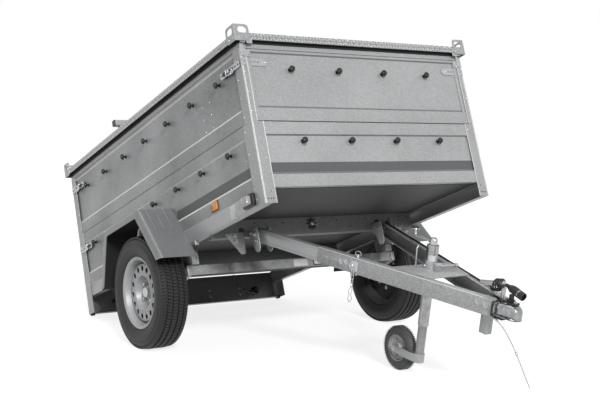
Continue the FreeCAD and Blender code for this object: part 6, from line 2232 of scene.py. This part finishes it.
@dataclass
class Jockey:
    """The jockey wheel: its outer tube, crank, clamp rod and wheel.

    Attributes:
        repeats: what makes nuts and the tread.
        outer: radius of the outer tube.
        sleeve: radius of its upper sleeve.
        bore: radius of its bore.
        top: upper end of the tube.
        low: lower end of the tube.
        plate_top: upper side of the jockey plate.
        half: half width of the tyre.
    """

    repeats: Repeats
    outer: float = 0.024
    sleeve: float = 0.027
    bore: float = 0.0206
    top: float = 0.137
    low: float = -0.225
    plate_top: float = 0.0333
    half: float = 0.025

    def tube(self) -> None:
        """The outer tube with its sleeve, foot and bare label."""
        form = Form(DRAWBAR @ Matrix.Translation((0, SIZE.jockey_y, 0)))
        top, low, foot, outer, sleeve = self.top, self.low, self.plate_top, self.outer, self.sleeve
        form.turned([(low, self.bore), (low, outer - 0.0006), (low + 0.0006, outer), (foot + 0.001, outer),
                     (foot + 0.0012, 0.030), (foot + 0.004, 0.029), (foot + 0.012, 0.025), (foot + 0.018, outer),
                     (top - 0.037, outer), (top - 0.036, sleeve), (top - 0.027, sleeve),
                     (top - 0.0265, sleeve - 0.0008), (top - 0.0245, sleeve - 0.0008), (top - 0.024, sleeve),
                     (top - 0.0015, sleeve), (top, sleeve - 0.0015), (top, 0), (top - 0.004, 0),
                     (top - 0.004, self.bore)], 56, aimed((0, 0, 0), UP))
        arc = [(math.cos(math.radians(a)), math.sin(math.radians(a))) for a in range(196, 272, 6)]
        label = [(x * outer, y * outer) for x, y in arc] + [(x * 0.0244, y * 0.0244) for x, y in arc[::-1]]
        form.prism(label, 0.058, 0.094, index=1)
        form.block((-0.0275, -0.004, top - 0.034), (-0.0225, 0.004, top - 0.012), index=2)
        form.piece("jockey_outer_tube", "drawbar", (CAST_ZINC, BLANK_LABEL, BLACK_PLASTIC_AND_PAINTED_SHADE), ("jockey_tube",))

    def crank(self) -> None:
        """The crank's cap, bar and knob, and the rod of the clamp."""
        form = Form(DRAWBAR @ Matrix.Translation((0, SIZE.jockey_y, self.top)))
        form.turned(mm((0.4, 0), (0.4, 16.5), (1.8, 17.8), (21.5, 17.8), (24, 16), (29, 15), (30.2, 13), (30.2, 0)),
                    12, aimed((0, 0, 0), UP))
        form.pipe(mm((0, 4, 14), (0, 122, 12), (0, 128, 44)), 0.005, 0.014, 14)
        knob = aimed((0, 0.128, 0), UP)
        form.turned(mm((38.5, 0), (38.5, 8), (40, 19), (42.5, 19.8), (44, 19), (44, 0)), 32, knob)
        form.turned(mm((43.6, 0), (43.6, 18), (46.5, 17.2), (50.5, 14), (53, 8.5), (53.8, 0)), 32, knob, 1)
        form.piece("jockey_crank_arm", "drawbar", (ZINC, BLACK_PLASTIC_AND_PAINTED_SHADE), ("jockey_crank",), 28)
        rod = Form(DRAWBAR)
        foot = self.plate_top
        rod.pipe([(-0.034, -0.768, foot + 0.004), (-0.060, -0.766, foot + 0.006), (-0.062, -0.764, 0.118),
                  (-0.052, -0.762, 0.128)], 0.0032, 0.010, 12)
        rod.turned(mm((-6, 0), (-6, 7.5), (6, 7.5), (6, 0)), 6, aimed((-0.034, -0.768, foot + 0.0055), (1, 0, 0)))
        rod.piece("clamp_rod", "drawbar", (ZINC,))

    def road_wheel(self) -> None:
        """The jockey wheel's tyre with its fine slanted tread, and its stamped rim."""
        place = Matrix.Translation(joint_place("jockey_wheel_spin"))
        form = Form(place)
        flank = [(x - self.half, radius) for x, radius in
                 mm((4, 60.5), (1, 64), (0, 74), (2, 86), (8, 94), (16, 97.5))]
        form.turned(flank + [(0.0, 0.0985)] + [(-x, radius) for x, radius in reversed(flank)] + [(0.0, 0.060)], 96,
                    ring=True)
        form.piece("jockey_rubber", "jockey_wheel", (GREY_TYRE,), ("jockey_tyre",))
        bar = Form().block(*mm((-8.5, -1.1, -1), (8.5, 1.1, 1.4)), 0.0004)
        sites = []
        for k in range(60):
            for row, side in enumerate(BOTH):
                turn = 2 * math.pi * (k + 0.5 * row) / 60
                y, z = math.cos(turn), math.sin(turn)
                sites.append(Site((side * 0.0105, y * 0.098, z * 0.098), (0.0, y, z), (-side * 0.35, -z, y)))
        self.repeats.copies("jockey_tread", "jockey_wheel", place, sites, bar, JOCKEY_TREAD)
        rim, cutter, wheel = Form(), Form(), Form(place)
        face = mm((21, 60), (22, 59), (21.5, 56), (12, 53), (8, 48), (7.5, 30), (12, 24), (21, 20), (22, 16), (22, 6.6))
        rim.turned(face + [(-x, radius) for x, radius in reversed(face)], 64, ring=True)
        for spot in round_spots(5, 0.039):
            cutter.turned(mm((-30, 0), (-30, 6.2), (30, 6.2), (30, 0)), 20, Matrix.Translation(spot))
        wheel.add_mesh(carved(rim, cutter))
        wheel.piece("jockey_stamped_rim", "jockey_wheel", (RIM_SILVER,), ("jockey_rim",), 30)
        sites = [Site((-0.0362, 0, 0), (-1, 0, 0)), Site((0.0275, 0, 0), (1, 0, 0))]
        self.repeats.bolts("jockey_axle_nuts", "jockey_fork", place, sites, 0.0085, 0.0065)

    def build(self) -> None:
        """Makes the jockey wheel."""
        self.tube()
        self.crank()
        self.road_wheel()


@dataclass
class Underside:
    """Brackets, gussets, labels and small fittings below the bed.

    Attributes:
        repeats: what makes bolts and holes.
        leaf: thickness of the hinge's plates.
        gap: distance of the plates from the arm.
        beam: front face of the front cross-beam.
        axle: front face of the axle.
    """

    repeats: Repeats
    leaf: float = 0.005
    gap: float = 0.014
    beam: float = 0.560
    axle: float = 0.796

    def brackets(self) -> None:
        """The hinge's hanging plates and the gussets beside them."""
        form = Form(BED)
        outline = mm((477, 12), (560, 12), (560, -17), (530, -60), (524, -92), (512, -103), (490, -103), (477, -88))
        sites, pins = [], []
        for side in BOTH:
            for inner in (SIZE.hinge_half + self.gap, SIZE.hinge_half - SIZE.arm_wide - self.gap - self.leaf):
                form.prism(fillet(outline, 0.004, 3), side * inner, side * (inner + self.leaf), "X", 0.0008)
            gusset = [(side * x, z) for x, z in mm((540, 6), (432, 6), (438, -98), (462, -98))]
            form.prism(fillet(gusset, 0.006, 3), 0.5545, 0.5590, "Y", 0.0008)
            face = side * (SIZE.hinge_half + self.gap + self.leaf)
            sites += [Site((face, *spot), (side, 0, 0)) for spot in mm((540, -4), (500, -52))]
            sites += [Site((side * x, 0.5545, z), (0, -1, 0)) for x, z in mm((482, -8), (482, -35), (510, -8))]
            pins.append(Site((side * 0.407, SIZE.hinge_y, SIZE.hinge_z), (side, 0, 0)))
        form.piece("hinge_plates", "bed", (GALVANISED,), ("hinge_brackets",))
        self.repeats.bolts("plate_bolts", "bed", BED, sites, 0.008, 0.0055)
        self.repeats.bolts("pivot_nuts", "bed", BED, pins, 0.011, 0.0065)

    def beam_details(self) -> None:
        """The catch, black dots as painted shade for holes, and grommets on the front cross-beam, and the wiring
        behind.
        """
        form = Form(BED)
        for x, z in mm((-441, 14), (441, 14), (374, 22)):
            form.turned(mm((0, 0), (0, 13.5), (2.5, 15.5), (4.5, 14), (4.5, 0)), 24,
                        aimed((x, self.beam, z), (0, -1, 0)), 1)
        for angle in range(0, 180, 45):
            form.block(*mm((-30, -3, -3), (30, 3, 3)), 0.001, Matrix.Translation((-0.035, self.beam - 0.003, 0.034))
                       @ Matrix.Rotation(math.radians(angle), 4, "Y"), 1)
        form.turned(mm((0, 0), (0, 11), (6, 9.5), (7.5, 0)), 20,
                    aimed((-0.035, self.beam - 0.0045, 0.034), (0, -1, 0)))
        form.block(*mm((-52, 553.5, 8), (-20, 560, 14)), 0.0012, index=1)
        form.piece("beam_catch", "bed", (ZINC, BLACK_PLASTIC_AND_PAINTED_SHADE))
        # black dots as painted shade for the holes in the beam
        dots = [Site((x, self.beam, z), (0, -1, 0)) for x, z in mm(
            (-300, 10), (-200, 45), (120, 45), (200, 10), (300, 45), (-360, 50), (520, 30), (500, -5), (-520, 40),
            (545, 30), (575, 45), (520, 48), (455, 45))]
        self.repeats.rivets("beam_holes", "bed", BED, dots, 0.0042, 0.0006, BLACK_PLASTIC_AND_PAINTED_SHADE)
        form = Form(BED)
        for side in BOTH:
            form.turned(mm((0, 0), (0, 26), (10, 26), (14, 20), (30, 18), (32, 0)), 28,
                        aimed((side * 0.470, SIZE.bed_length - 0.0045, -0.040), (0, -1, 0)))
            form.pipe([(side * x, y, z) for x, y, z in mm((470, 1990, -40), (455, 1960, -70), (400, 1950, -60),
                                                         (350, 1965, -30), (300, 1970, 10), (300, 1955, 60))],
                      0.0045, 0.030, 10)
        form.piece("lamp_sockets", "bed", (BLACK_PLASTIC_AND_PAINTED_SHADE,))
        sites = [Site((x, SIZE.bed_length - 0.004, z), (0, -1, 0)) for x in (-0.25, -0.05, 0.15, 0.36)
                 for z in (-0.015, -0.055)]
        self.repeats.rivets("lamp_board_screws", "bed", BED, sites, 0.0045)

    def axle_details(self) -> None:
        """Bare labels and a plate on the axle, bolts through its mounts, and the fenders' brackets."""
        form, lips = Form(BED), Form(BED)
        for low, high, front, rear, index in ((-0.020, 0.065, 0.0006, 0.0004, 0), (0.100, 0.175, 0.0006, 0.0004, 1)):
            form.block((low, self.axle - front, -0.131), (high, self.axle + rear, -0.096), 0.0002, index=index)
        form.block((0.106, self.axle - 0.001, -0.126), (0.169, self.axle, -0.101), 0.0002)
        form.piece("axle_labels", "bed", (BLANK_LABEL, BLACK_PLASTIC_AND_PAINTED_SHADE))
        sites = [Site((side * 0.590, 0.775, z), (0, -1, 0)) for side in BOTH for z in (-0.020, -0.055)]
        self.repeats.bolts("axle_bolts", "bed", BED, sites, 0.0085, 0.006)
        for side in BOTH:
            lips.block((side * 0.634 - 0.010, SIZE.wheel_y - 0.352, -0.020),
                       (side * 0.634 + 0.010, SIZE.wheel_y - 0.348, 0.000))
        lips.piece("fender_brackets", "bed", (GALVANISED,))

    def build(self) -> None:
        """Makes everything below the bed."""
        self.brackets()
        self.beam_details()
        self.axle_details()


def main() -> None:
    """Builds the whole trailer."""
    logging.basicConfig(level=logging.INFO, format="%(message)s")
    Studio().build()
    repeats = Repeats()
    Coupling(repeats).build()
    for name, finish in PLAIN_NODES:
        dress(frame["nodes"][name], finish)
    for row in SOFT_NODES:
        softened(*row)
    for part in (Walls(repeats), CornerPosts(repeats), Lid(repeats), Fittings(repeats), Fenders(), Wheel(repeats),
                 Drawbar(repeats), Jockey(repeats), Underside(repeats)):
        log.info("building %s", type(part).__name__)
        part.build()


if __name__ == "__main__":
    main()
